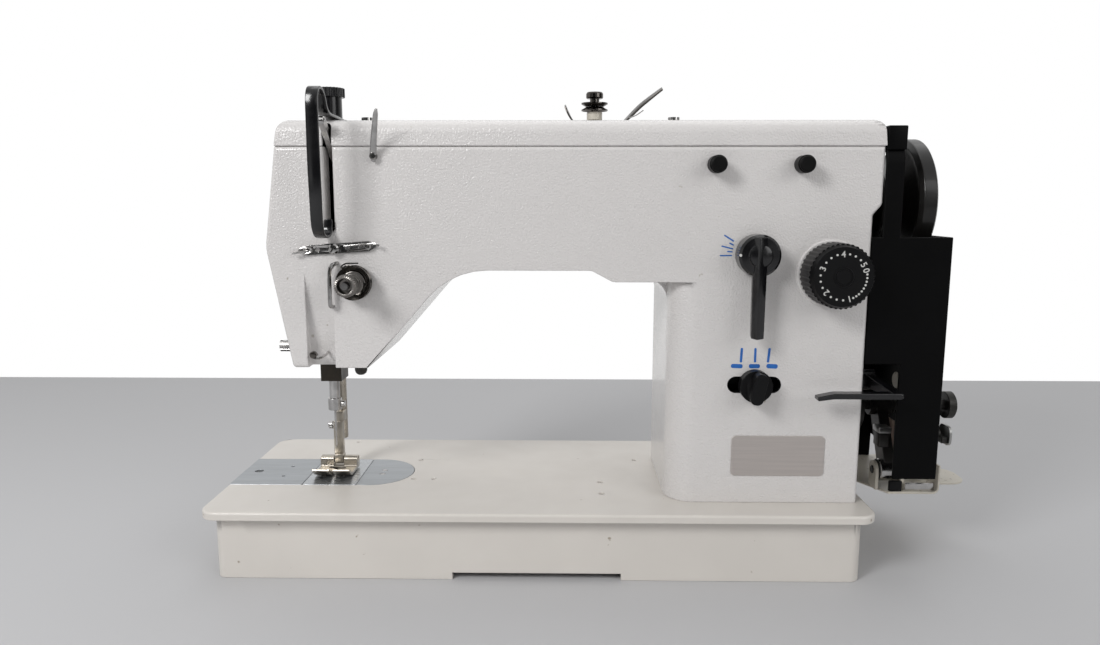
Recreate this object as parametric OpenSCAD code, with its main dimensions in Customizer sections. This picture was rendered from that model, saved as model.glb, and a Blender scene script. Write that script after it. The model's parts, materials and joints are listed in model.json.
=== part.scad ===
// Head of a flat-bed zig-zag sewing machine, in millimetres.
// Inside place() X runs from the bed's left end, Y from its front edge and Z from its top surface.

/* [Bed] */
// Length of the bed, a standard size
bed_l = 476; // [470:1:490]
// Depth of the bed from front to back, a standard size
bed_w = 178; // [174:1:190]
// Thickness of the bed's top plate
bed_t = 6; // [5.5:0.5:6.5]
// Height of the bed from its top to its feet
bed_h = 52; // [50:1:60]
// Radius of the bed's corners
bed_corner = 13; // [10:1:18]
// How far the bed's rim stands out past its skirt
bed_rim = 8; // [6:1:9]
// Thickness of the bed's skirt
skirt_t = 6; // [5:0.5:7]
// Distance between the two hinge bores in the back of the bed
hinge_span = 305; // [280:1:315]
// Radius of a hinge bore
hinge_r = 4.75; // [4:0.25:5.5]
// Depth of a hinge bore
hinge_depth = 24; // [18:1:28]

/* [Plates] */
// Width of the slide, needle and end plates
plate_w = 62; // [60:1:64]
// Thickness of the plates
plate_t = 3; // [2.5:0.1:3.2]
// Length of the slide plate
slide_l = 56; // [52:1:57]
// Length of the needle plate
needle_plate_l = 41; // [39:1:42]
// Gap around and between the plates
plate_gap = 0.4; // [0.3:0.05:0.6]

/* [Arm] */
// Needle to the arm's front face
arm_before = 63; // [62:1:66]
// Depth of the arm from front to back
arm_d = 110; // [106:1:112]
// Height of the seam between the arm and its top cover
seam_z = 252.5; // [250:0.5:256]
// Height of the arm's underside above the bed
throat_z = 167.5; // [165:0.5:169]
// Height of the head's underside above the bed
head_z = 98; // [96:0.5:100]
// Width of the pillar
pillar_w = 137.5; // [132:0.5:140]
// Right end of the bed beyond the pillar
pillar_end = 7.5; // [6:0.5:10]
// Thickness of the arm's walls
wall = 9; // [8:0.5:9.5]
// Height of the top cover
cover_h = 18; // [16:0.5:20]
// Thickness of the top cover's walls
cover_t = 3; // [2.5:0.5:4]

/* [Shafts] */
// Height of the arm shaft above the bed
shaft_z = 214; // [212:0.5:216]
// Arm shaft in front of the needle
shaft_before = 3; // [1:1:5]
// Radius of the arm shaft
shaft_r = 7.5; // [6.5:0.25:8]
// Lower shaft behind the needle
lower_behind = 27; // [26:0.5:28]
// Depth of the lower shaft below the bed's top
lower_z = 26; // [25:0.5:27]
// Radius of the lower shaft
lower_r = 6; // [5:0.5:7]
// Radial running clearance of a shaft in its bore
run_gap = 0.05; // [0.03:0.01:0.08]
// Clearance between pieces that pass each other
gap = 0.3; // [0.25:0.05:0.4]

/* [Handwheel] */
// Radius of the handwheel's rim
wheel_r = 47; // [44:0.5:48]
// Radius of the belt groove's flanges
pulley_r = 33; // [30:0.5:34]
// Width of the handwheel's rim
rim_w = 13; // [11:0.5:13]

/* [Needle and foot] */
// Distance of the needle from the bed's left end
needle_x = 75.5; // [75:0.5:76]
// Stroke of the needle bar
stroke = 33.4; // [30:0.2:34]
// Radius of the needle bar and of the presser bar
bar_r = 4; // [3.6:0.1:4]
// Lift of the presser foot
foot_lift = 6; // [4:0.5:6]

/* [Controls] */
// Length of the stitch-width lever from its hub's axis
width_lever_l = 57; // [50:1:60]
// Radius of the stitch-length dial
dial_r = 22; // [20:0.5:23]
// Travel of the needle-position knob to each side
position_travel = 9; // [6:0.5:9.5]
// Length of the reverse lever's blade
reverse_l = 57; // [50:1:60]

/* [Belt guard and winder] */
// Width of the belt guard's box
guard_w = 55.5; // [54.5:0.5:57]
// Thickness of the belt guard's sheet
guard_t = 2.5; // [2:0.1:3]
// Height of the belt guard's box above the bed
guard_top = 191; // [186:1:196]
// Length of the base's tongue beyond the guard
tongue_l = 49; // [44:1:54]

/* [Hidden] */
$fn = 48;
needle_y = bed_w / 2;
arm_y = needle_y - arm_before;
shaft_y = needle_y - shaft_before;
lower_y = needle_y + lower_behind;
pillar_r = bed_l - pillar_end;
pillar_l = pillar_r - pillar_w;
guard_r = pillar_r + guard_w;
tongue_x = guard_r + tongue_l;
presser_y = needle_y + 20;
arm_back = arm_y + arm_d;
arm_r = pillar_r + 6;
head_top_x = needle_x - 17.5;
head_bulge_x = needle_x - 26.8;
head_foot_x = needle_x - 11;
head_right_x = needle_x + 42.5;
bulge_z = 183;
root_z = throat_z - 8;
cover_top = seam_z + cover_h;
face_t = 4;
face_inset = 5;
chamber_front = arm_y + 16;
chamber_back = arm_back - wall - 1;
chamber_l = head_right_x - 6;
bulkhead = 14;
arm_room_l = chamber_l + bulkhead;
arm_room_r = pillar_l - 5;
pillar_room_l = arm_room_r + bulkhead;
pillar_room_r = pillar_r - 12;
reach = 33;
plates_end = slide_l + needle_plate_l + 2 * plate_gap;
end_x = plates_end + 8;
pin_r = 4;
crank_x = needle_x + 23.5;
crank_t = 10;
link_x = needle_x + 10.5;
link_t = 5;
link_l = 42;
take_up_x = needle_x + 19.1;
take_up_t = 4;
take_up_y = shaft_y - 30;
take_up_z = shaft_z + 24;
take_up_l = 50;
take_up_rest = 38;
throw_r = stroke / 2;
bar_top = shaft_z + 26;
bar_low = 52;
gate_z = shaft_z + 32;
bush_r = shaft_r + 4;
sprocket_x = pillar_room_l + 45;
sprocket_w = 14;
sprocket_r = 11;
belt_t = 2;
hook_r = 17;
bevel_r = 12;
rib_t = 10;
rib_x = [needle_x + 45, bed_l / 2 + 10, sprocket_x + sprocket_w + 12];
wheel_l = arm_r + 14;
wheel_end = wheel_l + 30.5;
lever_x = pillar_r - 79.5;
lever_z = 179;
dial_x = pillar_r - 27.5;
dial_z = 166;
knob_x = pillar_r - 77;
knob_z = 87;
plug_x = [pillar_r - 109, pillar_r - 50.5];
plug_z = 240;
guard_l = pillar_r;
guard_back = arm_back + 10;
guard_split = shaft_y + 2;
leg_l = guard_r - 31;
leg_z = 18;
box_z = 102;
neck_top = seam_z + 13.5;
base_z = -3;
base_t = 1.5;
base_l = guard_r - 25;
base_r = guard_r + 16;
base_y = needle_y - 36;
spindle_y = needle_y + 1;
spindle_z = 57;
winder_pivot_z = 12;
winder_pivot_y = spindle_y - 24;
tension_x = needle_x + 36.5;
tension_z = 159.6;
top_guide_x = pillar_l - 52.2;
top_guide_y = shaft_y - 16;
rear_t = 3;
rear_l = pillar_room_l + 4;
rear_r = pillar_room_r + 2;
rear_low = 30;
rear_high = 200;
rear_mid = (rear_low + rear_high) / 2;
knob_stem_r = 7;
lifter_z = head_z + 48;
lifter_turn = 70;
cam_r = 13;
face_screw_y = arm_y + 11.5;
face_screw_z = head_z + 14;
face_screw_x = head_foot_x - 14 * (head_foot_x - head_bulge_x) / (bulge_z - head_z);
guard_screw_y = arm_y + 20;
guard_screw_z = [box_z + 20, box_z + 70];
reverse_y = shaft_y - 26;
reverse_z = 84;
latch_y = spindle_y - 8;
latch_z = 36;
bracket_z = shaft_z + throw_r - link_l;
foot_y = presser_y - 12;
foot_z = 8;
origin_x = tongue_x / 2;
origin_y = (bed_w + arm_y - reach) / 2;

// Moves the working frame to the part's own frame, centred under the machine
module place() translate([-origin_x, -origin_y, bed_h]) children();

// Unit vector along v
function unit(v) = v / norm(v);

// Arc points that round corner i of outline p by the radius in its third number
function corner(p, i) = let(
    n = len(p), a = p[(i + n - 1) % n], b = p[i], c = p[(i + 1) % n], r = b[2],
    u = unit([a[0] - b[0], a[1] - b[1]]), v = unit([c[0] - b[0], c[1] - b[1]]),
    half = acos(max(-1, min(1, u * v))) / 2)
    r <= 0 || half > 89.5 ? [[b[0], b[1]]] : let(
        m = [b[0], b[1]] + unit(u + v) * r / sin(half),
        s = [b[0], b[1]] + u * r / tan(half) - m,
        turn = (180 - 2 * half) * (s[0] * (v - u)[1] - s[1] * (v - u)[0] > 0 ? 1 : -1),
        start = atan2(s[1], s[0]), steps = max(2, ceil(abs(turn) / 11)))
        [for (k = [0 : steps]) m + r * [cos(start + turn * k / steps), sin(start + turn * k / steps)]];

// Outline with each [x, y, radius] corner rounded
function rounded(p) = [for (i = [0 : len(p) - 1]) each corner(p, i)];

// Corners of a rectangle from x0, y0 to x1, y1, all of radius r
function rect(x0, y0, x1, y1, r) = [[x0, y0, r], [x1, y0, r], [x1, y1, r], [x0, y1, r]];

// Prism of an outline drawn in X and Z, from y0 back to y1
module front_prism(y0, y1) translate([0, y1, 0]) rotate([90, 0, 0]) linear_extrude(y1 - y0) children();

// Prism of an outline drawn in Y and Z, from x0 right to x1
module side_prism(x0, x1) translate([x0, 0, 0]) rotate([90, 0, 90]) linear_extrude(x1 - x0) children();

// Flat-bottomed box with rounded upright edges
module round_box(x0, y0, x1, y1, z0, z1, r)
    translate([0, 0, z0]) linear_extrude(z1 - z0) polygon(rounded(rect(x0, y0, x1, y1, r)));

module box(x0, y0, z0, x1, y1, z1) translate([x0, y0, z0]) cube([x1 - x0, y1 - y0, z1 - z0]);

module along_x(x0, x1, y, z, r) translate([x0, y, z]) rotate([0, 90, 0]) cylinder(h = x1 - x0, r = r);

module along_y(y0, y1, x, z, r) translate([x, y0, z]) rotate([-90, 0, 0]) cylinder(h = y1 - y0, r = r);

module along_z(z0, z1, x, y, r) translate([x, y, z0]) cylinder(h = z1 - z0, r = r);

// Outline with n ridges between two radii
module ridged(r_low, r_high, n) polygon([for (k = [0 : 4 * n - 1]) let(
    a = 360 * k / (4 * n), r = k % 4 < 2 ? r_high : r_low) r * [cos(a), sin(a)]]);

// Round wire that follows a path; ref is a direction that no stretch of it runs along
module wire(path, r, ref = [0, 1, 0], sides = 8) {
    n = len(path);
    rings = [for (i = [0 : n - 1]) let(
        t = unit(path[min(i + 1, n - 1)] - path[max(i - 1, 0)]),
        s = unit(cross(t, ref)), u = cross(s, t))
        for (k = [0 : sides - 1]) path[i] + r * (cos(360 * k / sides) * s + sin(360 * k / sides) * u)];
    walls = [for (i = [0 : n - 2]) for (k = [0 : sides - 1]) let(j = (k + 1) % sides)
        [i * sides + k, i * sides + j, (i + 1) * sides + j, (i + 1) * sides + k]];
    ends = [[for (k = [0 : sides - 1]) sides - 1 - k], [for (k = [0 : sides - 1]) (n - 1) * sides + k]];
    polyhedron(rings, concat(walls, ends));
}

// Points of a coil about the Z axis whose radius goes from r0 to r1
function coil(r0, r1, h, turns) = [for (k = [0 : 12 * turns]) let(f = k / (12 * turns), r = r0 + (r1 - r0) * f)
    [r * cos(30 * k), r * sin(30 * k), h * f]];

// Front outline of the arm and head above the pillar
function arm_outline() = rounded([[head_top_x, seam_z, 0], [head_bulge_x, bulge_z, 25],
    [head_foot_x, head_z, 3], [head_right_x, head_z, 3], [head_right_x + 60.5, throat_z, 55],
    [pillar_l - 55, throat_z, 8], [pillar_l - 40, root_z, 8], [pillar_l + 20, root_z, 0],
    [pillar_r, root_z, 0], [pillar_r, shaft_z - 8, 3], [arm_r, shaft_z - 1, 5], [arm_r, seam_z, 0]]);

// Left end of the head, moved right by dx
function end_edge(dx, low, high) = [[head_top_x + dx, high], [head_bulge_x + dx, bulge_z],
    [head_foot_x + dx - (low - head_z) * (head_foot_x - head_bulge_x) / (bulge_z - head_z), low]];

function face_outline(low, high) = concat(end_edge(-1, low, high),
    [for (i = [2 : -1 : 0]) end_edge(face_t, low, high)[i]]);

module bed() color("ivory") place() difference() {
    union() {
        round_box(0, 0, bed_l, bed_w, -bed_t, 0, bed_corner);
        difference() {
            round_box(bed_rim, bed_rim, bed_l - bed_rim, bed_w - bed_rim, -bed_h, -bed_t, bed_corner - 5);
            round_box(bed_rim + skirt_t, bed_rim + skirt_t, bed_l - bed_rim - skirt_t,
                bed_w - bed_rim - skirt_t, -bed_h - 1, -bed_t, 3);
        }
        // ribs that carry the lower shaft, and the wall that carries the hook shaft
        for (x = rib_x) box(x, bed_rim + 1, -bed_h + 8, x + rib_t, bed_w - bed_rim - 1, -bed_t);
        box(bed_rim + 1, needle_y + 11.6, -bed_h + 8, rib_x[0] + 1, needle_y + 14.4, -bed_t - 3);
        // bosses round the hinge bores
        for (s = [-1, 1]) along_y(bed_w - bed_rim - skirt_t - hinge_depth + 2, bed_w - bed_rim - 1,
            bed_l / 2 + s * hinge_span / 2, -bed_h / 2 - 1, hinge_r + 5);
    }
    // seat of the three plates and the hook room under them
    round_box(-bed_corner, needle_y - plate_w / 2 - plate_gap, plates_end + 1, needle_y + plate_w / 2 + plate_gap,
        -plate_t, 1, 2);
    intersection() {
        along_z(-plate_t, 1, end_x, needle_y, plate_w / 2 + plate_gap, $fn = 96);
        box(plates_end, 0, -bed_t, plates_end + plate_w, bed_w, 1);
    }
    round_box(bed_rim + skirt_t + 2, needle_y - 25, plates_end + 20, needle_y + 25, -bed_t - 1, 1, 4);
    // way for the belt under the pillar
    round_box(pillar_room_l, chamber_front - 8, pillar_room_r, chamber_back + 4, -bed_t - 1, 1, 6);
    for (x = rib_x) along_x(x - 1, x + rib_t + 1, lower_y, -lower_z, lower_r + run_gap);
    along_y(needle_y + 11, needle_y + 15, needle_x, -lower_z, pin_r + run_gap);
    for (s = [-1, 1]) along_y(bed_w - bed_rim - hinge_depth, bed_w, bed_l / 2 + s * hinge_span / 2,
        -bed_h / 2 - 1, hinge_r);
    // screw holes for an edge guide and other attachments
    for (y = [0, 1]) along_z(-bed_t - 1, 1, bed_l * 0.6, needle_y - 46.6 + 25 * y, 2.2);
    for (p = [[needle_x + 64, needle_y - 16.4], [needle_x + 80, needle_y - 16.4], [needle_x + 62, needle_y + 29.9],
        [needle_x - 3, bed_w - 8.5], [bed_l / 2 + 78.5, needle_y + 32.7]]) along_z(-bed_t - 1, 1, p[0], p[1], 1.8);
    for (s = [-1, 1]) along_z(-bed_t - 1, 1, end_x + 7, needle_y + s * 4.3 - 1, 1.6);
    // oil channel scooped along the bed's front underside
    box(bed_l / 2 - 60, bed_rim - 1, -bed_h - 1, bed_l / 2 + 60, bed_rim + skirt_t + 1, -bed_h + 5);
}

// Upright slot with round ends through a front wall
module upright_slot(x, y0, y1, z0, z1, r) {
    box(x - r, y0, z0 + r, x + r, y1, z1 - r);
    for (z = [z0 + r, z1 - r]) along_y(y0, y1, x, z, r);
}

// Level slot with round ends through a front wall
module level_slot(x0, x1, y0, y1, z, r) {
    box(x0 + r, y0, z - r, x1 - r, y1, z + r);
    for (x = [x0 + r, x1 - r]) along_y(y0, y1, x, z, r);
}

// Places of the top cover's screws, over the arm's bulkheads
module at_cover_screws() for (x = [chamber_l + bulkhead / 2, arm_room_r + bulkhead / 2])
    for (y = [arm_y + 18, arm_back - 22]) translate([x, y, 0]) children();

// Places of the rear cover's screws
module at_rear_screws() for (x = [rear_l + 6, rear_r - 6]) for (z = [rear_low + 6, rear_mid, rear_high - 6])
    translate([x, arm_back, z]) rotate([-90, 0, 0]) children();

module arm() color("whitesmoke") place() {
    difference() {
        union() {
            front_prism(arm_y, arm_back) polygon(arm_outline());
            linear_extrude(seam_z) polygon(rounded([[pillar_l, arm_y, 20], [pillar_r, arm_y, 3],
                [pillar_r, arm_back, 8], [pillar_l, arm_back, 10]]));
            // fillet between the underside and the pillar
            front_prism(arm_y + 20, arm_back - 10) difference() {
                translate([pillar_l - 14, root_z - 14]) square([16, 16]);
                translate([pillar_l - 14, root_z - 14]) circle(14);
            }
        }
        front_prism(arm_y + face_inset, arm_back - face_inset) polygon(face_outline(head_z + 4, seam_z - 3));
        // room in the head, open to the left and to the top
        box(head_bulge_x - 1, chamber_front, head_z + 12, chamber_l, chamber_back, seam_z - 8);
        box(head_top_x + 3, chamber_front, seam_z - 9, chamber_l, chamber_back, seam_z + 1);
        // rooms in the arm and in the pillar
        box(arm_room_l, arm_y + wall, throat_z + wall, arm_room_r, chamber_back, seam_z + 1);
        box(pillar_room_l, arm_y + wall, -1, pillar_room_r, chamber_back + 4, seam_z + 1);
        box(rear_l + 11, arm_back - 20, rear_low + 11, rear_r - 11, arm_back + 1, rear_high - 11);
        for (x = [chamber_l - 1, arm_room_r - 1]) along_x(x, x + bulkhead + 2, shaft_y, shaft_z, bush_r);
        along_x(pillar_room_r - 1, arm_r + 1, shaft_y, shaft_z, bush_r);
        // ways out of the head for the needle bar, the presser bar and the lifter
        box(needle_x - 10, needle_y - 11, head_z - 1, needle_x + 11, needle_y + 12.6, head_z + 13);
        along_z(head_z - 1, head_z + 13, needle_x, presser_y, bar_r + run_gap);
        along_y(chamber_back - 1, arm_back + 1, needle_x, lifter_z, 5 + run_gap);
        // slot for the take-up lever and the thread's recess below it
        upright_slot(take_up_x, arm_y - 1, chamber_front + 1, shaft_z - 20, seam_z + 10, take_up_t / 2 + 1.1);
        side_prism(needle_x, needle_x + 19.5) polygon([[arm_y - 1, head_z + 68], [arm_y, head_z + 67],
            [arm_y + 12, head_z - 1], [arm_y - 1, head_z - 1]]);
        // bores of the controls in the pillar's walls
        along_y(arm_y - 1, arm_y + wall + 1, lever_x, lever_z, 6 + run_gap);
        along_y(arm_y - 1, arm_y + wall + 1, dial_x, dial_z, 6 + run_gap);
        level_slot(knob_x - position_travel - 10, knob_x + position_travel + 10, arm_y - 1, arm_y + wall + 1,
            knob_z, 6);
        along_x(pillar_room_r - 1, pillar_r + 1, reverse_y, reverse_z, 5 + run_gap);
        for (x = plug_x) along_y(arm_y - 1, arm_y + wall + 1, x, plug_z, 4.02);
        along_y(arm_y - 1, arm_y + 10, tension_x, tension_z, 3.02);
        at_cover_screws() along_z(seam_z - 12, seam_z + 1, 0, 0, 2);
        at_rear_screws() along_z(-5, 1, 0, 0, 2);
        along_x(head_bulge_x, head_bulge_x + 30, face_screw_y, face_screw_z, 2.02);
        for (z = guard_screw_z) along_x(pillar_r - 8, pillar_r + 1, guard_screw_y, z, 2.02);
    }
    // pivots of the needle gate and of the take-up lever
    along_y(chamber_front - 1, needle_y + 6, needle_x, gate_z, pin_r);
    along_x(take_up_x - take_up_t / 2 - 1, chamber_l + 1, take_up_y, take_up_z, 3);
    along_x(take_up_x + take_up_t / 2 + gap, chamber_l + 1, take_up_y, take_up_z, 6.5);
}

module top_cover() color("whitesmoke") place() difference() {
    cover_form(0);
    cover_form(cover_t);
    upright_slot(take_up_x, arm_y - 1, arm_y + 14, seam_z - 10, cover_top - 2.5, take_up_t / 2 + 1.1);
    along_z(seam_z, cover_top + 1, needle_x, presser_y, knob_stem_r + 0.02);
    along_z(seam_z, cover_top + 1, top_guide_x, top_guide_y, 2.52);
    at_cover_screws() along_z(seam_z, cover_top + 1, 0, 0, 2);
}

// Outer form of the top cover, drawn in by t
module cover_form(t) intersection() {
    front_prism(arm_y, arm_back) polygon(rounded([[head_top_x + t, seam_z - t, 0], [arm_r + 0.5 - t, seam_z - t, 0],
        [arm_r - 1 - t, cover_top - t, 7], [head_top_x + 3 + t, cover_top - t, 9]]));
    side_prism(0, bed_l) polygon(rounded([[arm_y + t, seam_z - t, 0], [arm_back - t, seam_z - t, 0],
        [arm_back - 1 - t, cover_top - t, 10 - t], [arm_y + 1 + t, cover_top - t, 10 - t]]));
}

// Slotted pan-head screw along Z, its head's underside at zero
module screw(head_r, head_h, shank_r, shank_l) {
    difference() {
        cylinder(h = head_h, r = head_r);
        translate([-head_r, -head_r * 0.12, head_h * 0.55]) cube([2 * head_r, head_r * 0.24, head_h]);
    }
    translate([0, 0, -shank_l]) cylinder(h = shank_l, r = shank_r);
}

module cover_screws() color("silver") place() {
    at_cover_screws() translate([0, 0, cover_top]) screw(4, 2.4, 1.97, cover_h + 8);
    at_rear_screws() translate([0, 0, rear_t]) screw(4, 2.4, 1.97, rear_t + 4);
    for (z = guard_screw_z) translate([pillar_r + 2.5, guard_screw_y, z]) rotate([0, 90, 0])
        screw(4, 2.4, 1.97, 9);
}

module face_plate() color("whitesmoke") place() difference() {
    front_prism(arm_y + face_inset + 0.1, arm_back - face_inset - 0.1)
        intersection() {
            polygon(face_outline(head_z + 4.1, seam_z - 3.1));
            polygon(arm_outline());
        }
    along_x(head_bulge_x - 1, head_bulge_x + 30, face_screw_y, face_screw_z, 2.1);
    along_x(head_bulge_x - 1, face_screw_x, face_screw_y, face_screw_z, 3.1);
}

module face_plate_screw() color("silver") place() translate([face_screw_x, face_screw_y, face_screw_z])
    rotate([0, -90, 0]) {
        translate([0, 0, 2]) linear_extrude(7) ridged(3.7, 4.2, 20);
        cylinder(h = 2, r = 3);
        translate([0, 0, -14]) cylinder(h = 14, r = 1.97);
    }

module rear_cover() color("whitesmoke") place() difference() {
    front_prism(arm_back, arm_back + rear_t) polygon(rounded(rect(rear_l, rear_low, rear_r, rear_high, 8)));
    at_rear_screws() along_z(-1, rear_t + 1, 0, 0, 2.1);
}

module front_plugs() color("dimgray") place() for (x = plug_x) {
    along_y(arm_y - 13, arm_y - 2, x, plug_z, 6);
    along_y(arm_y - 15, arm_y - 13, x, plug_z, 5.2);
    along_y(arm_y - 2, arm_y + wall - 1, x, plug_z, 4);
}

module name_plate() color("lightgray") place() front_prism(arm_y - 0.8, arm_y)
    polygon(rounded(rect(pillar_r - 91.5, 20.5, pillar_r - 25.3, 49.9, 3)));

module slide_plate() color("lightsteelblue") place() difference() {
    round_box(0, needle_y - plate_w / 2, slide_l, needle_y + plate_w / 2, -plate_t, 0, 1);
    along_z(-plate_t - 1, 1, 11.9, needle_y, 3.4);
    for (s = [-1, 1]) along_z(-plate_t - 1, 1, 35.5, needle_y + s * 11.5, 1.3);
}

module needle_plate() color("lightsteelblue") place() difference() {
    round_box(slide_l + plate_gap, needle_y - plate_w / 2, slide_l + plate_gap + needle_plate_l,
        needle_y + plate_w / 2, -plate_t, 0, 0.6);
    box(needle_x - 5, needle_y - 1.2, -plate_t - 1, needle_x + 5, needle_y + 1.2, 1);
    for (s = [-1, 1]) along_z(-plate_t - 1, 1, needle_x + s * 5, needle_y, 1.2);
    for (s = [-1, 1]) box(needle_x + s * 7.6 - 2.1, needle_y - 17, -plate_t - 1, needle_x + s * 7.6 + 2.1,
        needle_y + 17, 1);
}

module end_plate() color("lightsteelblue") place() difference() {
    union() {
        box(plates_end, needle_y - plate_w / 2, -plate_t, end_x, needle_y + plate_w / 2, 0);
        intersection() {
            along_z(-plate_t, 0, end_x, needle_y, plate_w / 2, $fn = 96);
            box(end_x - 1, 0, -plate_t, end_x + plate_w, bed_w, 0);
        }
    }
    at_plate_screws() {
        along_z(-plate_t - 1, 1, 0, 0, 1.6);
        along_z(-1.4, 1, 0, 0, 2.3);
    }
}

module at_plate_screws() for (s = [-1, 1]) translate([end_x + 7, needle_y + s * 4.3 - 1, 0]) children();

module plate_screws() color("silver") place() at_plate_screws()
    translate([0, 0, -1.4]) screw(2.2, 1.3, 1.57, bed_t - 1.6);

// Points of an open path whose inner corners are rounded by their third numbers
function rounded_path(p) = [for (i = [0 : len(p) - 1])
    each i == 0 || i == len(p) - 1 ? [[p[i][0], p[i][1]]] : corner(p, i)];

// Outline of a strip of thickness t that follows a path
function band(path, t) = let(n = len(path), side = [for (i = [0 : n - 1]) let(
    d = unit(path[min(i + 1, n - 1)] - path[max(i - 1, 0)])) [-d[1], d[0]] * t / 2])
    concat([for (i = [0 : n - 1]) path[i] + side[i]], [for (i = [n - 1 : -1 : 0]) path[i] - side[i]]);

// Strip bent in the Y and Z plane
module side_strip(x0, x1, path, t) side_prism(x0, x1) polygon(band(rounded_path(path), t));

// Strip bent in the X and Z plane
module front_strip(y0, y1, path, t) front_prism(y0, y1) polygon(band(rounded_path(path), t));

module take_up_guard() color("black") place() difference() {
    union() {
        side_strip(take_up_x - 4.4, take_up_x + 4.4, [[arm_y - 1.1, shaft_z - 14, 0], [arm_y - 1.1, shaft_z - 24, 2],
            [arm_y - 8, shaft_z - 23, 6], [arm_y - 30, shaft_z + 8, 20], [arm_y - 31, shaft_z + 74, 9],
            [arm_y - 14, shaft_z + 74, 9], [arm_y + 4, cover_top + 3.2, 12], [presser_y - 15, cover_top + 3.2, 0]],
            2.2);
        round_box(needle_x - 14, presser_y - 20, take_up_x + 4.4, presser_y + 14, cover_top + 2.1,
            cover_top + 4.3, 8);
    }
    along_z(cover_top, cover_top + 6, needle_x, presser_y, knob_stem_r + 0.1);
}

module thread_guide_pin() color("silver") place() {
    along_y(arm_y - 5, arm_y, head_right_x + 9, seam_z - 7, 2.6);
    wire([[head_right_x + 9, arm_y - 4, seam_z - 9], [head_right_x + 9.6, arm_y - 5, seam_z - 3],
        [head_right_x + 12, arm_y - 12, seam_z + 8], [head_right_x + 16, arm_y - 21, seam_z + 22]], 1.9);
}

module thread_guide_plate() color("silver") place() {
    translate([needle_x + 22.5, 0, 182.7]) rotate([0, -4, 0]) {
        difference() {
            union() {
                front_prism(arm_y - 1.6, arm_y) polygon(rounded([[-26, 1.5, 1.5], [-20, -3.5, 2], [24, -3.5, 2],
                    [31, 0, 1.5], [24, 3.8, 2], [-18, 3.8, 2]]));
                front_prism(arm_y - 5, arm_y - 1) polygon([[-18, 2.6], [20, 2.6], [20, 3.8], [-18, 3.8]]);
            }
            for (x = [-12, 9, 18]) along_y(arm_y - 3, arm_y + 1, x, 0, 1.4);
            along_y(arm_y - 3, arm_y + 1, 0, 0, 2.1);
        }
        translate([0, arm_y - 1.6, 0]) rotate([90, 0, 0]) screw(3.4, 2, 2, 1.6);
    }
}

module wire_guides() color("silver") place() {
    translate([needle_x, arm_y, head_z]) wire([[19.2, -0.3, 44], [19.1, -4, 44.5], [19.1, -6, 48], [19.1, -6, 68],
        [20.5, -5.5, 72], [22.5, -4, 74], [23.4, -0.5, 74.6]], 1.3, [1, 0.3, 0]);
    wire([[needle_x + 12, arm_y + 9.5, head_z + 10], [needle_x + 11.5, arm_y + 4, head_z + 8],
        [needle_x + 9, arm_y, head_z + 7], [needle_x + 5, arm_y - 1, head_z + 7],
        [needle_x + 3.5, arm_y + 2, head_z + 8], [needle_x + 5.5, arm_y + 4.5, head_z + 9]], 0.9, [0, 0, 1]);
}

module at_tension() translate([tension_x, arm_y, tension_z]) rotate([90, 0, 0]) children();

module tension_post() color("silver") place() at_tension() {
    translate([0, 0, -9]) cylinder(h = 9, r = 3);
    cylinder(h = 3, r = 8.5);
    cylinder(h = reach, r = 2.4);
}

// Pair of saucers that grip the thread, rims apart, along Z
module saucers(bore, flat_r, rim_r, lift) for (s = [0, 1]) mirror([0, 0, s]) translate([0, 0, 0.15])
    rotate_extrude($fn = 64) polygon([[bore, 0], [flat_r, 0], [rim_r, lift], [rim_r, lift + 0.8],
        [flat_r - 0.4, 0.9], [bore, 0.9]]);

module thread_discs() color("silver") place() {
    at_tension() translate([0, 0, 7.6]) saucers(2.5, 8, 12, 2.2);
    at_top_guide() translate([0, 0, 12.4]) saucers(2.6, 6.5, 9.6, 1.8);
}

module tension_spring() color("silver") place() at_tension() translate([0, 0, 9.4])
    wire(coil(8, 4.4, 11, 5), 0.6, [0, 0, 1], 6);

module tension_nut() color("silver") place() at_tension() difference() {
    union() {
        translate([0, 0, 21.2]) cylinder(h = 3, r = 5.6);
        translate([0, 0, 24.2]) linear_extrude(7.4) ridged(6.1, 6.7, 26);
    }
    translate([0, 0, 20]) cylinder(h = reach, r = 2.4 + run_gap);
}

module check_spring() color("silver") place() at_tension() {
    wire([for (k = [0 : 20]) [9.6 * cos(18 * k + 130), 9.6 * sin(18 * k + 130), 1 + k * 0.11]], 0.5, [0, 0, 1]);
    wire([[9.6 * cos(130), 9.6 * sin(130), 3.2], [-7.5, 11, 4], [-9.5, 15.5, 5], [-7.6, 17, 5.2], [-6, 14.5, 5]],
        0.5, [0, 0, 1]);
}

module at_top_guide() translate([top_guide_x, top_guide_y, cover_top]) children();

module top_guide_bracket() color("silver") place() {
    front_strip(top_guide_y - 8, top_guide_y + 8, [[top_guide_x - 22, cover_top + 15, 0],
        [top_guide_x - 15, cover_top + 0.75, 5], [top_guide_x + 15, cover_top + 0.75, 0]], 1.5);
    front_strip(top_guide_y - 4, top_guide_y + 4, [[top_guide_x + 14, cover_top + 0.75, 0],
        [top_guide_x + 20, cover_top + 0.75, 6], [top_guide_x + 36, cover_top + 17, 14],
        [top_guide_x + 50, cover_top + 28, 0]], 1.5);
    at_top_guide() {
        translate([0, 0, -cover_t]) cylinder(h = cover_t, r = 2.5);
        cylinder(h = 22, r = 2.5);
        cylinder(h = 9, r = 5.5);
    }
}

module top_guide_nut() color("silver") place() at_top_guide() difference() {
    union() {
        translate([0, 0, 15.4]) cylinder(h = 2, r = 4.4);
        translate([0, 0, 17.4]) linear_extrude(5.6) ridged(5.6, 6.2, 20);
    }
    translate([0, 0, 15]) cylinder(h = 7.1, r = 2.5 + run_gap);
}

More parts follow.
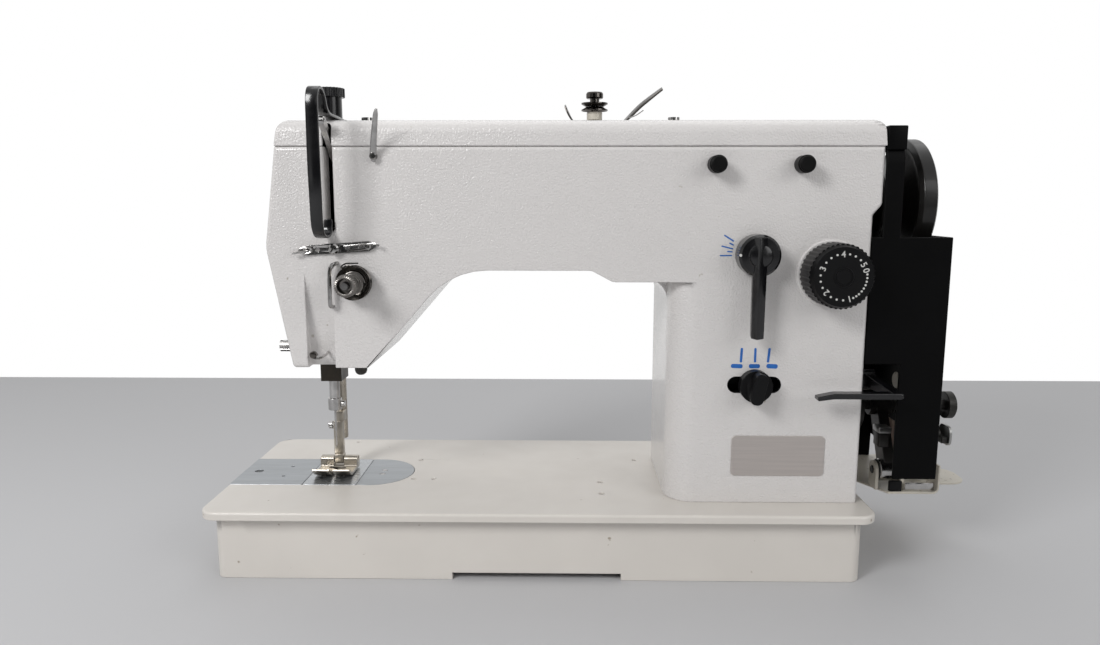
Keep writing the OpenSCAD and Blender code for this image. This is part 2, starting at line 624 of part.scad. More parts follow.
// Belt guard as a shell of sheet, drawn in by t
module guard_form(t) {
    side_prism(arm_r + 1 - 4 * t, wheel_l - 0.5 + 4 * t) polygon(rounded([[arm_y + t, box_z - 4 * t, 0],
        [guard_back - t, box_z - 4 * t, 0], [guard_back - t, neck_top - t, 26], [arm_y + t, neck_top - t, 26]]));
    box(guard_l - 4 * t, arm_y + t, box_z - 4 * t, guard_r - t, guard_back - t, guard_top + 4 * t);
    box(leg_l - 4 * t, arm_y + t, leg_z - 8 * t, guard_r - t, guard_back - t, box_z + 1);
}

module guard_shell() difference() {
    guard_form(0);
    guard_form(guard_t);
    // room for the arm's end and the pillar
    box(guard_l - 20, arm_y + guard_t, -bed_h, arm_r + 1, guard_back + 1, seam_z + 40);
    box(guard_l - 20, 0, shaft_z - 9, arm_r + 1, guard_back + 1, seam_z + 40);
    // opening the wheel stands in
    box(wheel_l - 0.5, arm_y - 1, guard_top, guard_r + 1, guard_back + 1, neck_top + 9);
    along_x(guard_r - guard_t - 1, guard_r + 1, spindle_y, spindle_z, 10);
    along_x(guard_r - guard_t - 1, guard_r + 1, latch_y, latch_z, 3 + run_gap);
}

module belt_guard_front() color("black") place() {
    intersection() {
        guard_shell();
        box(0, 0, -bed_h, guard_r + 1, guard_split - gap / 2, neck_top + 9);
    }
    // flange screwed to the pillar's side
    difference() {
        box(pillar_r, arm_y + guard_t - 0.5, box_z + 10, pillar_r + 2.5, arm_y + 30, box_z + 80);
        for (z = guard_screw_z) along_x(pillar_r - 1, pillar_r + 3, guard_screw_y, z, 2.1);
    }
}

module belt_guard_rear() color("black") place() {
    intersection() {
        guard_shell();
        box(0, guard_split + gap / 2, -bed_h, guard_r + 1, guard_back + 1, neck_top + 9);
    }
    // foot that carries the winder base, and the strap that ties it to the front half
    box(base_l + 3, guard_back - guard_t, base_z + base_t, guard_r - guard_t, guard_back, leg_z + 1);
    box(guard_r - guard_t - 2.5, guard_split - 10, leg_z + 70, guard_r - guard_t, guard_split + 6, guard_top - 30);
}

module winder_base() color("cornsilk") place() difference() {
    union() {
        intersection() {
            front_strip(base_y, guard_back, [[bed_l + 1, base_z + base_t / 2, 0],
                [base_r - base_t / 2, base_z + base_t / 2, 4], [base_r - base_t / 2, 19, 0]], base_t);
            translate([0, 0, base_z - 1]) linear_extrude(30) polygon([[base_l + 3, base_y], [base_r + 1, base_y],
                [base_r + 1, guard_back], [bed_l + 1, guard_back], [bed_l + 1, base_y + 46]]);
        }
        round_box(base_r - 8, spindle_y - 16, tongue_x, spindle_y + 21, base_z, base_z + base_t, 14);
        // ears of the winder arm's pivot
        for (x = [leg_l + 1, leg_l + 20.5]) side_prism(x, x + 2.5) polygon(rounded([
            [winder_pivot_y - 7, base_z + base_t - 0.5, 0], [winder_pivot_y + 7, base_z + base_t - 0.5, 0],
            [winder_pivot_y + 7, winder_pivot_z + 7, 6.9], [winder_pivot_y - 7, winder_pivot_z + 7, 6.9]]));
    }
    along_x(base_r - 5, base_r + 5, spindle_y - 2, base_z + 11, 2.5 + run_gap);
    along_x(leg_l, leg_l + 25, winder_pivot_y, winder_pivot_z, 3 + run_gap);
}

module winder_arm() color("dimgray") place() {
    difference() {
        union() {
            along_x(leg_l + 3.8, leg_l + 20.2, winder_pivot_y, winder_pivot_z, 8);
            along_x(leg_l + 3.8, leg_l + 20.2, spindle_y, spindle_z, 8);
            side_prism(leg_l + 8, leg_l + 16) polygon([[winder_pivot_y - 7, winder_pivot_z + 3],
                [winder_pivot_y + 7, winder_pivot_z - 3], [spindle_y + 7, spindle_z - 3],
                [spindle_y - 7, spindle_z + 3]]);
        }
        along_x(leg_l, leg_l + 25, spindle_y, spindle_z, 4 + run_gap);
    }
    along_x(leg_l + 0.2, leg_l + 23.8, winder_pivot_y, winder_pivot_z, 3);
}

module winder_pulley() color("dimgray") place() {
    along_x(bed_l + 1, leg_l + 3.5, spindle_y, spindle_z, 4);
    along_x(leg_l + 3.5, base_r + 20, spindle_y, spindle_z, 4);
    along_x(bed_l + 1, bed_l + 12, spindle_y, spindle_z, 19);
    along_x(leg_l + 20.5, leg_l + 23, spindle_y, spindle_z, 7);
    along_x(base_r + 16, base_r + 22, spindle_y, spindle_z, 10.6);
}

module winder_latch() color("dimgray") place() {
    along_x(guard_r - guard_t, base_r + 11, latch_y, latch_z, 3);
    along_x(guard_r - guard_t - 2.5, guard_r - guard_t, latch_y, latch_z, 5);
    side_prism(base_r + 10, base_r + 15) polygon(band(rounded_path([[latch_y - 6, latch_z - 4, 0],
        [latch_y + 12, latch_z - 4, 8], [latch_y + 18, latch_z + 14, 0]]), 5));
}

module winder_thumb_screw() color("black") place() translate([base_r, spindle_y - 2, base_z + 11]) rotate([0, 90, 0]) {
    translate([0, 0, 1]) linear_extrude(7) ridged(5.2, 6, 18);
    cylinder(h = 1, r = 4);
    translate([0, 0, -5]) cylinder(h = 5, r = 2.5);
}

module arm_shaft() color("silver") place()
    along_x(crank_x + 1, wheel_end - 1, shaft_y, shaft_z, shaft_r);

module shaft_bushes() color("peru") place() for (span = [[chamber_l, arm_room_l], [arm_room_r, pillar_room_l],
    [pillar_room_r, arm_r]]) difference() {
        along_x(span[0], span[1], shaft_y, shaft_z, bush_r - 0.02);
        along_x(span[0] - 1, span[1] + 1, shaft_y, shaft_z, shaft_r + run_gap);
    }

module handwheel() color("black") place() translate([arm_r, shaft_y, shaft_z]) rotate([0, 90, 0])
    rotate_extrude($fn = 96) let(b = shaft_r + 0.02, w = wheel_l - arm_r, e = wheel_end - arm_r)
        polygon([[b, 2], [pulley_r - 8, 2], [pulley_r, 2], [pulley_r, 3.2], [pulley_r - 6, 6], [pulley_r - 6, 8],
            [pulley_r, 11], [pulley_r, 12.5], [16, w + 4], [16, w + 12], [wheel_r - 8, e - rim_w + 0.5],
            [wheel_r - 4, e - rim_w], [wheel_r, e - rim_w + 2.5], [wheel_r, e - 2], [wheel_r - 3, e], [wheel_r - 7, e - 1],
            [wheel_r - 9, e - 5], [18, e - 9], [18, e], [b, e]]);

module needle_crank() color("silver") place() {
    difference() {
        side_prism(crank_x, crank_x + crank_t) polygon(rounded([[shaft_y - 9, shaft_z + throw_r + 8, 8],
            [shaft_y + 9, shaft_z + throw_r + 8, 8], [shaft_y + 26, shaft_z - 6, 8], [shaft_y + 19, shaft_z - 22, 12],
            [shaft_y - 19, shaft_z - 22, 12], [shaft_y - 26, shaft_z - 6, 8]]));
        along_x(crank_x + 1, crank_x + crank_t + 1, shaft_y, shaft_z, shaft_r + 0.02);
    }
    along_x(link_x - 1.6, crank_x, shaft_y, shaft_z + throw_r, pin_r);
    along_x(link_x - 1.6, link_x - gap, shaft_y, shaft_z + throw_r, pin_r + 1.6);
}

module needle_link() color("silver") place() difference() {
    side_prism(link_x, link_x + link_t) {
        translate([shaft_y, shaft_z + throw_r]) circle(7.5);
        translate([shaft_y, shaft_z + throw_r - link_l]) circle(6);
        translate([shaft_y - 4, shaft_z + throw_r - link_l]) square([8, link_l]);
    }
    along_x(link_x - 1, link_x + link_t + 1, shaft_y, shaft_z + throw_r, pin_r + run_gap);
    along_x(link_x - 1, link_x + link_t + 1, shaft_y, shaft_z + throw_r - link_l, 3);
}

module take_up_lever() color("silver") place() translate([take_up_x, take_up_y, take_up_z])
    rotate([-take_up_rest, 0, 0]) difference() {
        side_prism(-take_up_t / 2, take_up_t / 2) {
            circle(6);
            polygon(rounded([[0, -5.6, 0], [0, 5.6, 0], [-take_up_l + 8, 3, 6], [-take_up_l, 3.6, 3.4],
                [-take_up_l - 4, 0, 3], [-take_up_l, -3.4, 3.4], [-take_up_l + 8, -2.6, 6]]));
        }
        along_x(-take_up_t, take_up_t, 0, 0, 3 + run_gap);
        along_x(-take_up_t, take_up_t, -take_up_l, 0, 1.5);
    }

// Toothed pulley of the timing belt, with flanges
module sprocket(y, z, bore) difference() {
    translate([sprocket_x, y, z]) rotate([0, 90, 0]) {
        linear_extrude(sprocket_w) ridged(sprocket_r - 1.2, sprocket_r, 20);
        for (x = [0, sprocket_w - 1.5]) translate([0, 0, x]) cylinder(h = 1.5, r = sprocket_r + 3.5);
    }
    along_x(sprocket_x - 1, sprocket_x + sprocket_w + 1, y, z, bore + 0.02);
}

module upper_sprocket() color("silver") place() sprocket(shaft_y, shaft_z, shaft_r);

module lower_sprocket() color("silver") place() sprocket(lower_y, -lower_z, lower_r);

// Loop round both sprockets at radius r
function belt_loop(r) = let(lean = atan2(lower_y - shaft_y, shaft_z + lower_z))
    [for (k = [0 : 25]) let(low = k > 12, a = lean + (low ? 180 : 0) + 15 * (k - (low ? 13 : 0)))
        [low ? lower_y : shaft_y, low ? -lower_z : shaft_z] + r * [cos(a), sin(a)]];

module timing_belt() color("dimgray") place() side_prism(sprocket_x + 2, sprocket_x + sprocket_w - 2) difference() {
    polygon(belt_loop(sprocket_r + gap + belt_t));
    polygon(belt_loop(sprocket_r + gap));
}

// Bevel gear along Z: pitch radius r at zero, narrowing over h
module bevel(r, r_end, h, n) difference() {
    cylinder(h = h, r1 = r, r2 = r_end);
    for (k = [0 : n - 1]) rotate([0, 0, 360 * k / n]) translate([r_end - 1, -0.5, -1]) cube([r, 1, h * 0.75 + 1]);
}

module lower_shaft() color("silver") place() {
    translate([needle_x + bevel_r / 2, lower_y, -lower_z]) rotate([0, -90, 0])
        bevel(bevel_r - 0.3, bevel_r * 2 / 3 - 0.3, bevel_r / 6, 24);
    along_x(needle_x + bevel_r / 2, needle_x + bevel_r / 2 + 8, lower_y, -lower_z, bevel_r - 3);
    along_x(needle_x + bevel_r / 2 + 7, rib_x[2] + rib_t + 6, lower_y, -lower_z, lower_r);
}

module hook_shaft() color("silver") place() {
    translate([needle_x, lower_y - bevel_r, -lower_z]) rotate([-90, 0, 0])
        bevel(bevel_r / 2 - 0.3, bevel_r / 3 - 0.3, bevel_r / 3, 12);
    along_y(needle_y + 11, lower_y - bevel_r, needle_x, -lower_z, pin_r);
}

module rotary_hook() color("silver") place() difference() {
    along_y(needle_y + 1, needle_y + 11, needle_x, -lower_z, hook_r);
    along_y(needle_y, needle_y + 9, needle_x, -lower_z, hook_r - 4.5);
    // gap behind the hook's point
    translate([needle_x, 0, -lower_z]) rotate([0, 20, 0]) box(4, needle_y, 4, hook_r + 4, needle_y + 6, hook_r + 4);
}

module bobbin_case() color("silver") place() difference() {
    along_y(needle_y - 10, needle_y + 8.7, needle_x, -lower_z, hook_r - 5);
    along_y(needle_y - 8.8, needle_y + 9, needle_x, -lower_z, hook_r - 6.2);
    along_y(needle_y - 11, needle_y - 8, needle_x, -lower_z, 4);
}

module bobbin() color("gainsboro") place() {
    for (y = [needle_y - 8.5, needle_y + 2.5]) along_y(y, y + 0.8, needle_x, -lower_z, hook_r - 6.5);
    along_y(needle_y - 8.5, needle_y + 3.3, needle_x, -lower_z, 7);
}

module feed_dog() color("silver") place() {
    for (s = [-1, 1]) side_prism(needle_x + s * 7.6 - 1.6, needle_x + s * 7.6 + 1.6) polygon(concat(
        [[needle_y + 12, -plate_t - 4], [needle_y - 13, -plate_t - 4]],
        [for (k = [0 : 16]) [needle_y - 13 + 1.5 * k, k % 2 == 0 ? 0.1 : 0.8]], [[needle_y + 12, 0.1]]));
    box(needle_x - 12, needle_y + 10, -plate_t - 4, needle_x + 12, needle_y + 20, -plate_t - gap);
}

module needle_gate() color("silver") place() difference() {
    union() {
        box(needle_x - 8, needle_y - 8, shaft_z + 12, needle_x + 8, needle_y + 12, gate_z + 5);
        box(needle_x - 5.5, needle_y + 7, head_z - 20, needle_x + 5.5, needle_y + 12, gate_z);
        box(needle_x - 8.1, needle_y - 8, head_z - 22, needle_x + 8.1, needle_y + 12, head_z);
        box(needle_x - 5.5, needle_y - 7, head_z, needle_x + 5.5, needle_y + 12, head_z + 12);
    }
    along_z(0, gate_z - 5, needle_x, needle_y, bar_r + run_gap);
    along_y(needle_y - 9, needle_y + 8, needle_x, gate_z, pin_r + run_gap);
}

module needle_bar() color("silver") place() {
    along_z(bar_low, bar_top, needle_x, needle_y, bar_r);
    // bracket whose stud faces the link's open eye
    box(needle_x - 8, needle_y - 8, bracket_z - 7, needle_x + 7, needle_y + 6.5, bracket_z + 7);
    along_x(needle_x + 5, link_x - 1.8, shaft_y, bracket_z, 2.6);
}

module needle_clamp() color("silver") place() {
    difference() {
        along_z(bar_low - 0.5, bar_low + 9, needle_x, needle_y, bar_r + 1.3);
        along_z(bar_low, bar_low + 10, needle_x, needle_y, bar_r + 0.02);
        along_z(bar_low - 1, bar_low + 1, needle_x, needle_y, 1.02);
    }
    along_x(needle_x + bar_r + 1, needle_x + bar_r + 4, needle_y, bar_low + 4, 2.6);
}

module needle() color("silver") place() translate([needle_x, needle_y, 0]) {
    translate([0, 0, 34]) cylinder(h = bar_low - 34, r = 1);
    translate([0, 0, 22]) cylinder(h = 12, r = 0.55);
    translate([0, 0, 20]) cylinder(h = 2, r1 = 0.1, r2 = 0.55);
}

module presser_bar() color("silver") place() {
    along_z(40, shaft_z + 20, needle_x, presser_y, bar_r);
    box(needle_x - 8, presser_y - 6, lifter_z + 14, needle_x + 8, presser_y + 16, lifter_z + 24);
}

module foot_shank() color("silver") place() {
    difference() {
        union() {
            box(needle_x - 6, presser_y - 7, 37, needle_x + 6, presser_y + 6, 50);
            side_prism(needle_x - 3.5, needle_x + 3.5) polygon([[presser_y - 6, 48], [presser_y + 5, 48],
                [presser_y + 5, 36], [foot_y + 4, 22], [foot_y + 4, foot_z - 3], [foot_y - 4, foot_z - 3],
                [foot_y - 4, foot_z + 3], [foot_y - 1.5, foot_z + 6], [foot_y - 1.5, 30], [presser_y - 6, 40]]);
        }
        along_z(40, 51, needle_x, presser_y, bar_r + 0.02);
    }
    along_x(needle_x - 14.5, needle_x + 14.5, foot_y, foot_z, 1.6);
    along_x(needle_x - 12, needle_x - 6, presser_y - 1, 43, 4);
}

module presser_foot() color("silver") place() difference() {
    union() {
        side_prism(needle_x - 14.8, needle_x + 14.8) polygon(rounded([[foot_y + 4, 1, 1], [foot_y + 4, foot_z + 3, 3],
            [foot_y - 4, foot_z + 3, 3], [foot_y - 4.6, 3.4, 1], [foot_y - 20, 3.2, 8], [foot_y - 27.5, 8.4, 0.4],
            [foot_y - 28.4, 7, 0.4], [foot_y - 21, 1, 8]]));
    }
    box(needle_x - 4, foot_y - 5, 3.4, needle_x + 4, foot_y + 5, 20);
    along_x(needle_x - 15, needle_x + 15, foot_y, foot_z, 1.6 + run_gap);
    box(needle_x - 1.2, foot_y - 30, 0, needle_x + 1.2, needle_y - 1, 20);
    box(needle_x - 6.5, needle_y - 1.8, 0, needle_x + 6.5, needle_y + 1.8, 20);
}

module presser_spring() color("silver") place() translate([needle_x, presser_y, lifter_z + 24.8])
    wire(coil(5.8, 5.8, seam_z - lifter_z - 29.6, 9), 0.7, [0, 0, 1], 6);

module presser_knob() color("black") place() {
    along_z(seam_z - 4, cover_top, needle_x, presser_y, knob_stem_r);
    along_z(cover_top, cover_top + 2, needle_x, presser_y, 14);
    along_z(cover_top + 2, cover_top + 4.4, needle_x, presser_y, knob_stem_r);
    along_z(cover_top + 4.4, cover_top + 7, needle_x, presser_y, 12.5);
    along_z(cover_top + 7, cover_top + 24, needle_x, presser_y, 8.6);
    translate([needle_x, presser_y, cover_top + 24]) linear_extrude(7) ridged(10.2, 11, 24);
}

module lifter_lever() color("silver") place() {
    along_y(chamber_back - 3, arm_back + 5, needle_x, lifter_z, 5);
    translate([needle_x, chamber_back - 6, lifter_z]) rotate([-90, 0, 0]) linear_extrude(5.5)
        polygon([for (k = [0 : 35]) let(a = 10 * k, rise = min(a, lifter_turn, max(0, 190 - a)))
            (cam_r + foot_lift * rise / lifter_turn) * [sin(a), -cos(a)]]);
    front_prism(arm_back + 3, arm_back + 9) translate([needle_x, lifter_z]) polygon(rounded([[-7, 7, 6.5],
        [7, 7, 6.5], [9, -30, 8], [18, -44, 3], [11, -46, 3], [-4, -30, 8]]));
}

module width_lever() color("black") place() {
    along_y(arm_y - 16, arm_y - gap, lever_x, lever_z, 14.5);
    along_y(arm_y - gap, arm_y + wall + 2, lever_x, lever_z, 6);
    translate([lever_x, 0, lever_z - width_lever_l]) linear_extrude(width_lever_l + 13)
        polygon([[-5, arm_y - 8], [-5, arm_y - 15], [-1.5, arm_y - 20], [5, arm_y - 16], [5, arm_y - 8]]);
}

module stitch_dial() color("black") place() {
    translate([dial_x, arm_y - 3, dial_z]) rotate([90, 0, 0]) {
        linear_extrude(21) ridged(dial_r - 0.7, dial_r, 40);
        translate([0, 0, 21]) cylinder(h = 3.5, r1 = dial_r - 0.8, r2 = dial_r - 2.2);
        translate([0, 0, 24]) cylinder(h = 1, r = 5);
        translate([0, 0, -2.7]) cylinder(h = 3, r = dial_r - 5);
    }
    along_y(arm_y - 1, arm_y + wall + 2, dial_x, dial_z, 6);
}

module position_knob() color("black") place() {
    along_y(arm_y - 8, arm_y - gap, knob_x, knob_z, 11.4);
    along_y(arm_y - gap, arm_y + wall + gap, knob_x, knob_z, 5);
    along_y(arm_y + wall + gap, arm_y + wall + 2, knob_x, knob_z, 8.5);
    translate([knob_x, 0, knob_z]) rotate([0, 12, 0]) front_prism(arm_y - 17, arm_y - 7)
        polygon(rounded(rect(-4.5, -11, 4.5, 11, 4)));
}

module reverse_lever() color("black") place() {
    along_x(pillar_room_r - 3, leg_l - 5, reverse_y, reverse_z, 5);
    along_x(pillar_r + 8, leg_l - 5, reverse_y, reverse_z, 8);
    side_prism(pillar_r + 12, leg_l - 5) polygon(rounded([[arm_y - 22, reverse_z - 2, 1.9],
        [reverse_y, reverse_z - 5, 0], [reverse_y, reverse_z + 5, 0], [arm_y - 22, reverse_z + 2, 1.9]]));
    translate([leg_l - 6 - reverse_l, 0, 0]) front_prism(arm_y - 22, arm_y - 14) polygon(rounded([
        [0, reverse_z - 3.5, 1], [11, reverse_z - 2, 12], [reverse_l, reverse_z - 2, 0],
        [reverse_l, reverse_z + 2, 0], [12, reverse_z + 2, 12], [0, reverse_z - 0.5, 1]]));
}

bed();
arm();
top_cover();
cover_screws();
face_plate();
face_plate_screw();
rear_cover();
front_plugs();
name_plate();
slide_plate();
needle_plate();
end_plate();
plate_screws();
take_up_guard();
thread_guide_pin();
thread_guide_plate();
wire_guides();
tension_post();
thread_discs();
tension_spring();
tension_nut();
check_spring();
top_guide_bracket();
top_guide_nut();
belt_guard_front();
belt_guard_rear();
winder_base();
winder_arm();
winder_pulley();
winder_latch();
winder_thumb_screw();
arm_shaft();
shaft_bushes();
handwheel();
needle_crank();
needle_link();
take_up_lever();
upper_sprocket();
lower_sprocket();
timing_belt();
lower_shaft();
hook_shaft();
rotary_hook();
bobbin_case();
bobbin();
feed_dog();
needle_gate();
needle_bar();
needle_clamp();
needle();
presser_bar();
foot_shank();
presser_spring();
presser_knob();
presser_foot();
lifter_lever();
width_lever();
stitch_dial();
position_knob();
reverse_lever();
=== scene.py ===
# Dresses the sewing machine: rounds the castings' edges, adds small fittings, paints everything and lights it.
import json
import math

import bmesh
import bpy
from mathutils import Matrix, Vector


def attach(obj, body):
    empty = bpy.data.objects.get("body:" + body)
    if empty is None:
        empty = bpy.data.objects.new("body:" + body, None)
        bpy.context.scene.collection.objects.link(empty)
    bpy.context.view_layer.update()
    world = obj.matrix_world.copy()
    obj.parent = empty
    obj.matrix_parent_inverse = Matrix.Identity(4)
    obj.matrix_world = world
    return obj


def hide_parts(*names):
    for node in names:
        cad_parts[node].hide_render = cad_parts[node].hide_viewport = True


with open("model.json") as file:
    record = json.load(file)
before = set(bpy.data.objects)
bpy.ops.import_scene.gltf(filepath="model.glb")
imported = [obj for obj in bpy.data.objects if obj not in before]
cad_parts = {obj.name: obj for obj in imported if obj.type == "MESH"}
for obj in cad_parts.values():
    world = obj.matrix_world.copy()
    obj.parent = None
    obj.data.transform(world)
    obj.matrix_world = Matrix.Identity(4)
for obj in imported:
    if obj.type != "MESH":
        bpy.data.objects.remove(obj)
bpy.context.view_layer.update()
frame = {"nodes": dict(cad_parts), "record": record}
nodes = frame["nodes"]
bodyOfNode = {node: body for body, members in frame["record"]["behaviour"]["bodies"].items() for node in members}
slotOfNode = {part["node"]: part["material_slot"] for part in frame["record"]["subparts"]}

# Working millimetres: X from the bed's left end, Y from its front edge, Z from its top
toRow = Matrix.Translation((-0.2865, -0.0855, 0.052)) @ Matrix.Scale(0.001, 4)
toWork = toRow.inverted()
print("frame loaded:", len(nodes), "nodes")


# ---- finishes ----

def newMaterial(name, look):
    material = bpy.data.materials.new(name)
    material.use_nodes = True
    tree = material.node_tree
    shader = tree.nodes["Principled BSDF"]
    shader.inputs["Metallic"].default_value = look.get("metallic", 0.0)
    shader.inputs["Coat Weight"].default_value = look.get("coat", 0.0)
    shader.inputs["Coat Roughness"].default_value = look.get("coatRough", 0.1)
    shader.inputs["Specular IOR Level"].default_value = look.get("specular", 0.5)
    coords = tree.nodes.new("ShaderNodeTexCoord")
    mapping = tree.nodes.new("ShaderNodeMapping")
    mapping.inputs["Scale"].default_value = look.get("stretch", (1, 1, 1))
    tree.links.new(coords.outputs["Object"], mapping.inputs["Vector"])

    def noise(scale, detail, source=mapping):
        node = tree.nodes.new("ShaderNodeTexNoise")
        node.inputs["Scale"].default_value = scale
        node.inputs["Detail"].default_value = detail
        tree.links.new(source.outputs[0], node.inputs["Vector"])
        return node.outputs[0]

    def span(value, low, high, outLow, outHigh):
        node = tree.nodes.new("ShaderNodeMapRange")
        for socket, number in (("From Min", low), ("From Max", high), ("To Min", outLow), ("To Max", outHigh)):
            node.inputs[socket].default_value = number
        tree.links.new(value, node.inputs["Value"])
        return node.outputs[0]

    def mixed(value, first, second):
        node = tree.nodes.new("ShaderNodeMix")
        node.data_type = "RGBA"
        tree.links.new(value, node.inputs[0])
        for socket, colour in ((6, first), (7, second)):
            if hasattr(colour, "links"):
                tree.links.new(colour, node.inputs[socket])
            else:
                node.inputs[socket].default_value = (*colour, 1)
        return node.outputs[2]

    # broad drift of the colour, then small marks
    shade = look.get("shade", 0.9)
    drift = span(noise(look.get("driftScale", 14), 3), 0.35, 0.65, 0, 1)
    colour = mixed(drift, look["colour"], tuple(c * shade for c in look["colour"]))
    if "speck" in look:
        marks = span(noise(look["speckScale"], 2), look["speckFrom"], look["speckFrom"] + 0.05, 0, 1)
        colour = mixed(marks, colour, look["speck"])
    tree.links.new(colour, shader.inputs["Base Color"])
    low, high = look["rough"]
    tree.links.new(span(noise(look.get("roughScale", 60), 3), 0.3, 0.7, low, high), shader.inputs["Roughness"])
    if "bump" in look:
        size, depth, strength = look["bump"]
        bump = tree.nodes.new("ShaderNodeBump")
        bump.inputs["Distance"].default_value = depth
        bump.inputs["Strength"].default_value = strength
        tree.links.new(noise(1 / size, look.get("bumpDetail", 1)), bump.inputs["Height"])
        tree.links.new(bump.outputs[0], shader.inputs["Normal"])
    return material


looks = {
    "armEnamel": {"colour": (0.655, 0.635, 0.625), "shade": 0.98, "rough": (0.22, 0.27), "coat": 0.5,
                  "bump": (0.00135, 0.0006, 0.9), "speck": (0.42, 0.39, 0.34), "speckScale": 160, "speckFrom": 0.76},
    "bedEnamel": {"colour": (0.68, 0.645, 0.60), "shade": 0.95, "rough": (0.32, 0.46), "coat": 0.15,
                  "bump": (0.0012, 0.0001, 0.25), "speck": (0.35, 0.30, 0.24), "speckScale": 150, "speckFrom": 0.75},
    "baseEnamel": {"colour": (0.62, 0.58, 0.50), "shade": 0.9, "rough": (0.3, 0.5), "coat": 0.1,
                   "speck": (0.2, 0.16, 0.11), "speckScale": 220, "speckFrom": 0.68},
    "plateSteel": {"colour": (0.40, 0.42, 0.44), "shade": 0.9, "metallic": 0.75, "rough": (0.3, 0.45),
                   "stretch": (1, 14, 1), "bump": (0.004, 0.00005, 0.25)},
    "brightSteel": {"colour": (0.50, 0.52, 0.54), "shade": 0.9, "metallic": 0.9, "rough": (0.2, 0.34),
                    "stretch": (1, 14, 1), "bump": (0.004, 0.00005, 0.2)},
    "chrome": {"colour": (0.55, 0.54, 0.53), "shade": 0.7, "metallic": 1.0, "rough": (0.1, 0.22), "driftScale": 90},
    "footSteel": {"colour": (0.50, 0.46, 0.40), "shade": 0.75, "metallic": 1.0,
                  "rough": (0.2, 0.38), "driftScale": 120},
    "shaftSteel": {"colour": (0.45, 0.45, 0.45), "shade": 0.8, "metallic": 1.0,
                   "rough": (0.25, 0.4), "driftScale": 60},
    "blackSheet": {"colour": (0.002, 0.002, 0.0022), "shade": 0.7, "rough": (0.4, 0.5), "specular": 0.08,
                   "bump": (0.0015, 0.0001, 0.2)},
    "blackGloss": {"colour": (0.004, 0.004, 0.005), "shade": 0.7, "rough": (0.14, 0.26), "coat": 0.2,
                   "bump": (0.004, 0.0001, 0.12)},
    "blackPlastic": {"colour": (0.006, 0.006, 0.0065), "shade": 0.8, "rough": (0.3, 0.42), "specular": 0.16,
                     "bump": (0.0008, 0.00005, 0.25)},
    "wheelEnamel": {"colour": (0.007, 0.0065, 0.006), "shade": 0.8, "rough": (0.26, 0.4), "coat": 0.25,
                    "specular": 0.3, "bump": (0.002, 0.0001, 0.25)},
    "plugPlastic": {"colour": (0.003, 0.003, 0.003), "shade": 0.8, "specular": 0.15, "rough": (0.4, 0.55),
                    "bump": (0.0006, 0.00008, 0.3)},
    "darkSteel": {"colour": (0.05, 0.048, 0.045), "shade": 0.6, "metallic": 0.6,
                  "rough": (0.3, 0.5), "driftScale": 80},
    "badgeMetal": {"colour": (0.62, 0.57, 0.54), "shade": 0.93, "metallic": 0.85, "rough": (0.3, 0.42),
                   "stretch": (1, 1, 40), "bump": (0.02, 0.00003, 0.2)},
    "bronze": {"colour": (0.42, 0.28, 0.13), "shade": 0.7, "metallic": 1.0, "rough": (0.3, 0.45)},
    "castMetal": {"colour": (0.42, 0.42, 0.42), "shade": 0.85, "metallic": 0.9, "rough": (0.4, 0.55),
                  "bump": (0.001, 0.0001, 0.3)},
    "beltRubber": {"colour": (0.02, 0.02, 0.02), "shade": 0.7, "rough": (0.6, 0.75), "bump": (0.0008, 0.0001, 0.3)},
    "blueInk": {"colour": (0.014, 0.135, 0.48), "shade": 0.8, "rough": (0.35, 0.5), "driftScale": 200},
    "whiteInk": {"colour": (0.60, 0.60, 0.58), "shade": 0.9, "rough": (0.4, 0.5), "driftScale": 200},
    "darkBlock": {"colour": (0.022, 0.016, 0.009), "shade": 0.7, "metallic": 0.3,
                  "rough": (0.3, 0.45), "driftScale": 60},
    "discSteel": {"colour": (0.13, 0.12, 0.11), "shade": 0.7, "metallic": 1.0,
                  "rough": (0.12, 0.24), "driftScale": 90},
    "nutSteel": {"colour": (0.27, 0.255, 0.24), "shade": 0.7, "metallic": 1.0,
                 "rough": (0.26, 0.38), "driftScale": 90},
    "silverBlock": {"colour": (0.45, 0.45, 0.44), "shade": 0.8, "metallic": 0.9,
                    "rough": (0.25, 0.4), "driftScale": 120},
    "tanPlate": {"colour": (0.40, 0.30, 0.25), "shade": 0.85, "metallic": 0.4,
                 "rough": (0.35, 0.5), "driftScale": 120},
}
materials = {name: newMaterial(name, look) for name, look in looks.items()}

finishOfSlot = {"bed_enamel": "bedEnamel", "arm_enamel": "armEnamel", "base_enamel": "baseEnamel",
                "plate_steel": "plateSteel", "bright_parts": "chrome", "black_sheet": "blackSheet",
                "black_plastic": "blackPlastic", "plug_plastic": "plugPlastic", "badge": "badgeMetal",
                "dark_steel": "darkSteel", "shaft_steel": "shaftSteel", "bush_bronze": "bronze",
                "pulley_metal": "castMetal", "belt_rubber": "beltRubber"}
finishOfNode = {"take_up_guard": "blackGloss", "handwheel": "wheelEnamel", "reverse_lever": "blackGloss",
                "presser_foot": "footSteel", "needle_gate": "darkBlock", "thread_discs": "discSteel",
                "thread_guide_plate": "chrome", "presser_bar": "footSteel",
                "needle_plate": "brightSteel", "presser_knob": "blackGloss", "width_lever": "blackGloss"}
for node, piece in nodes.items():
    piece.data.materials.clear()
    piece.data.materials.append(materials[finishOfNode.get(node, finishOfSlot[slotOfNode[node]])])
print("finishes made:", len(materials))


# ---- ways of making pieces ----

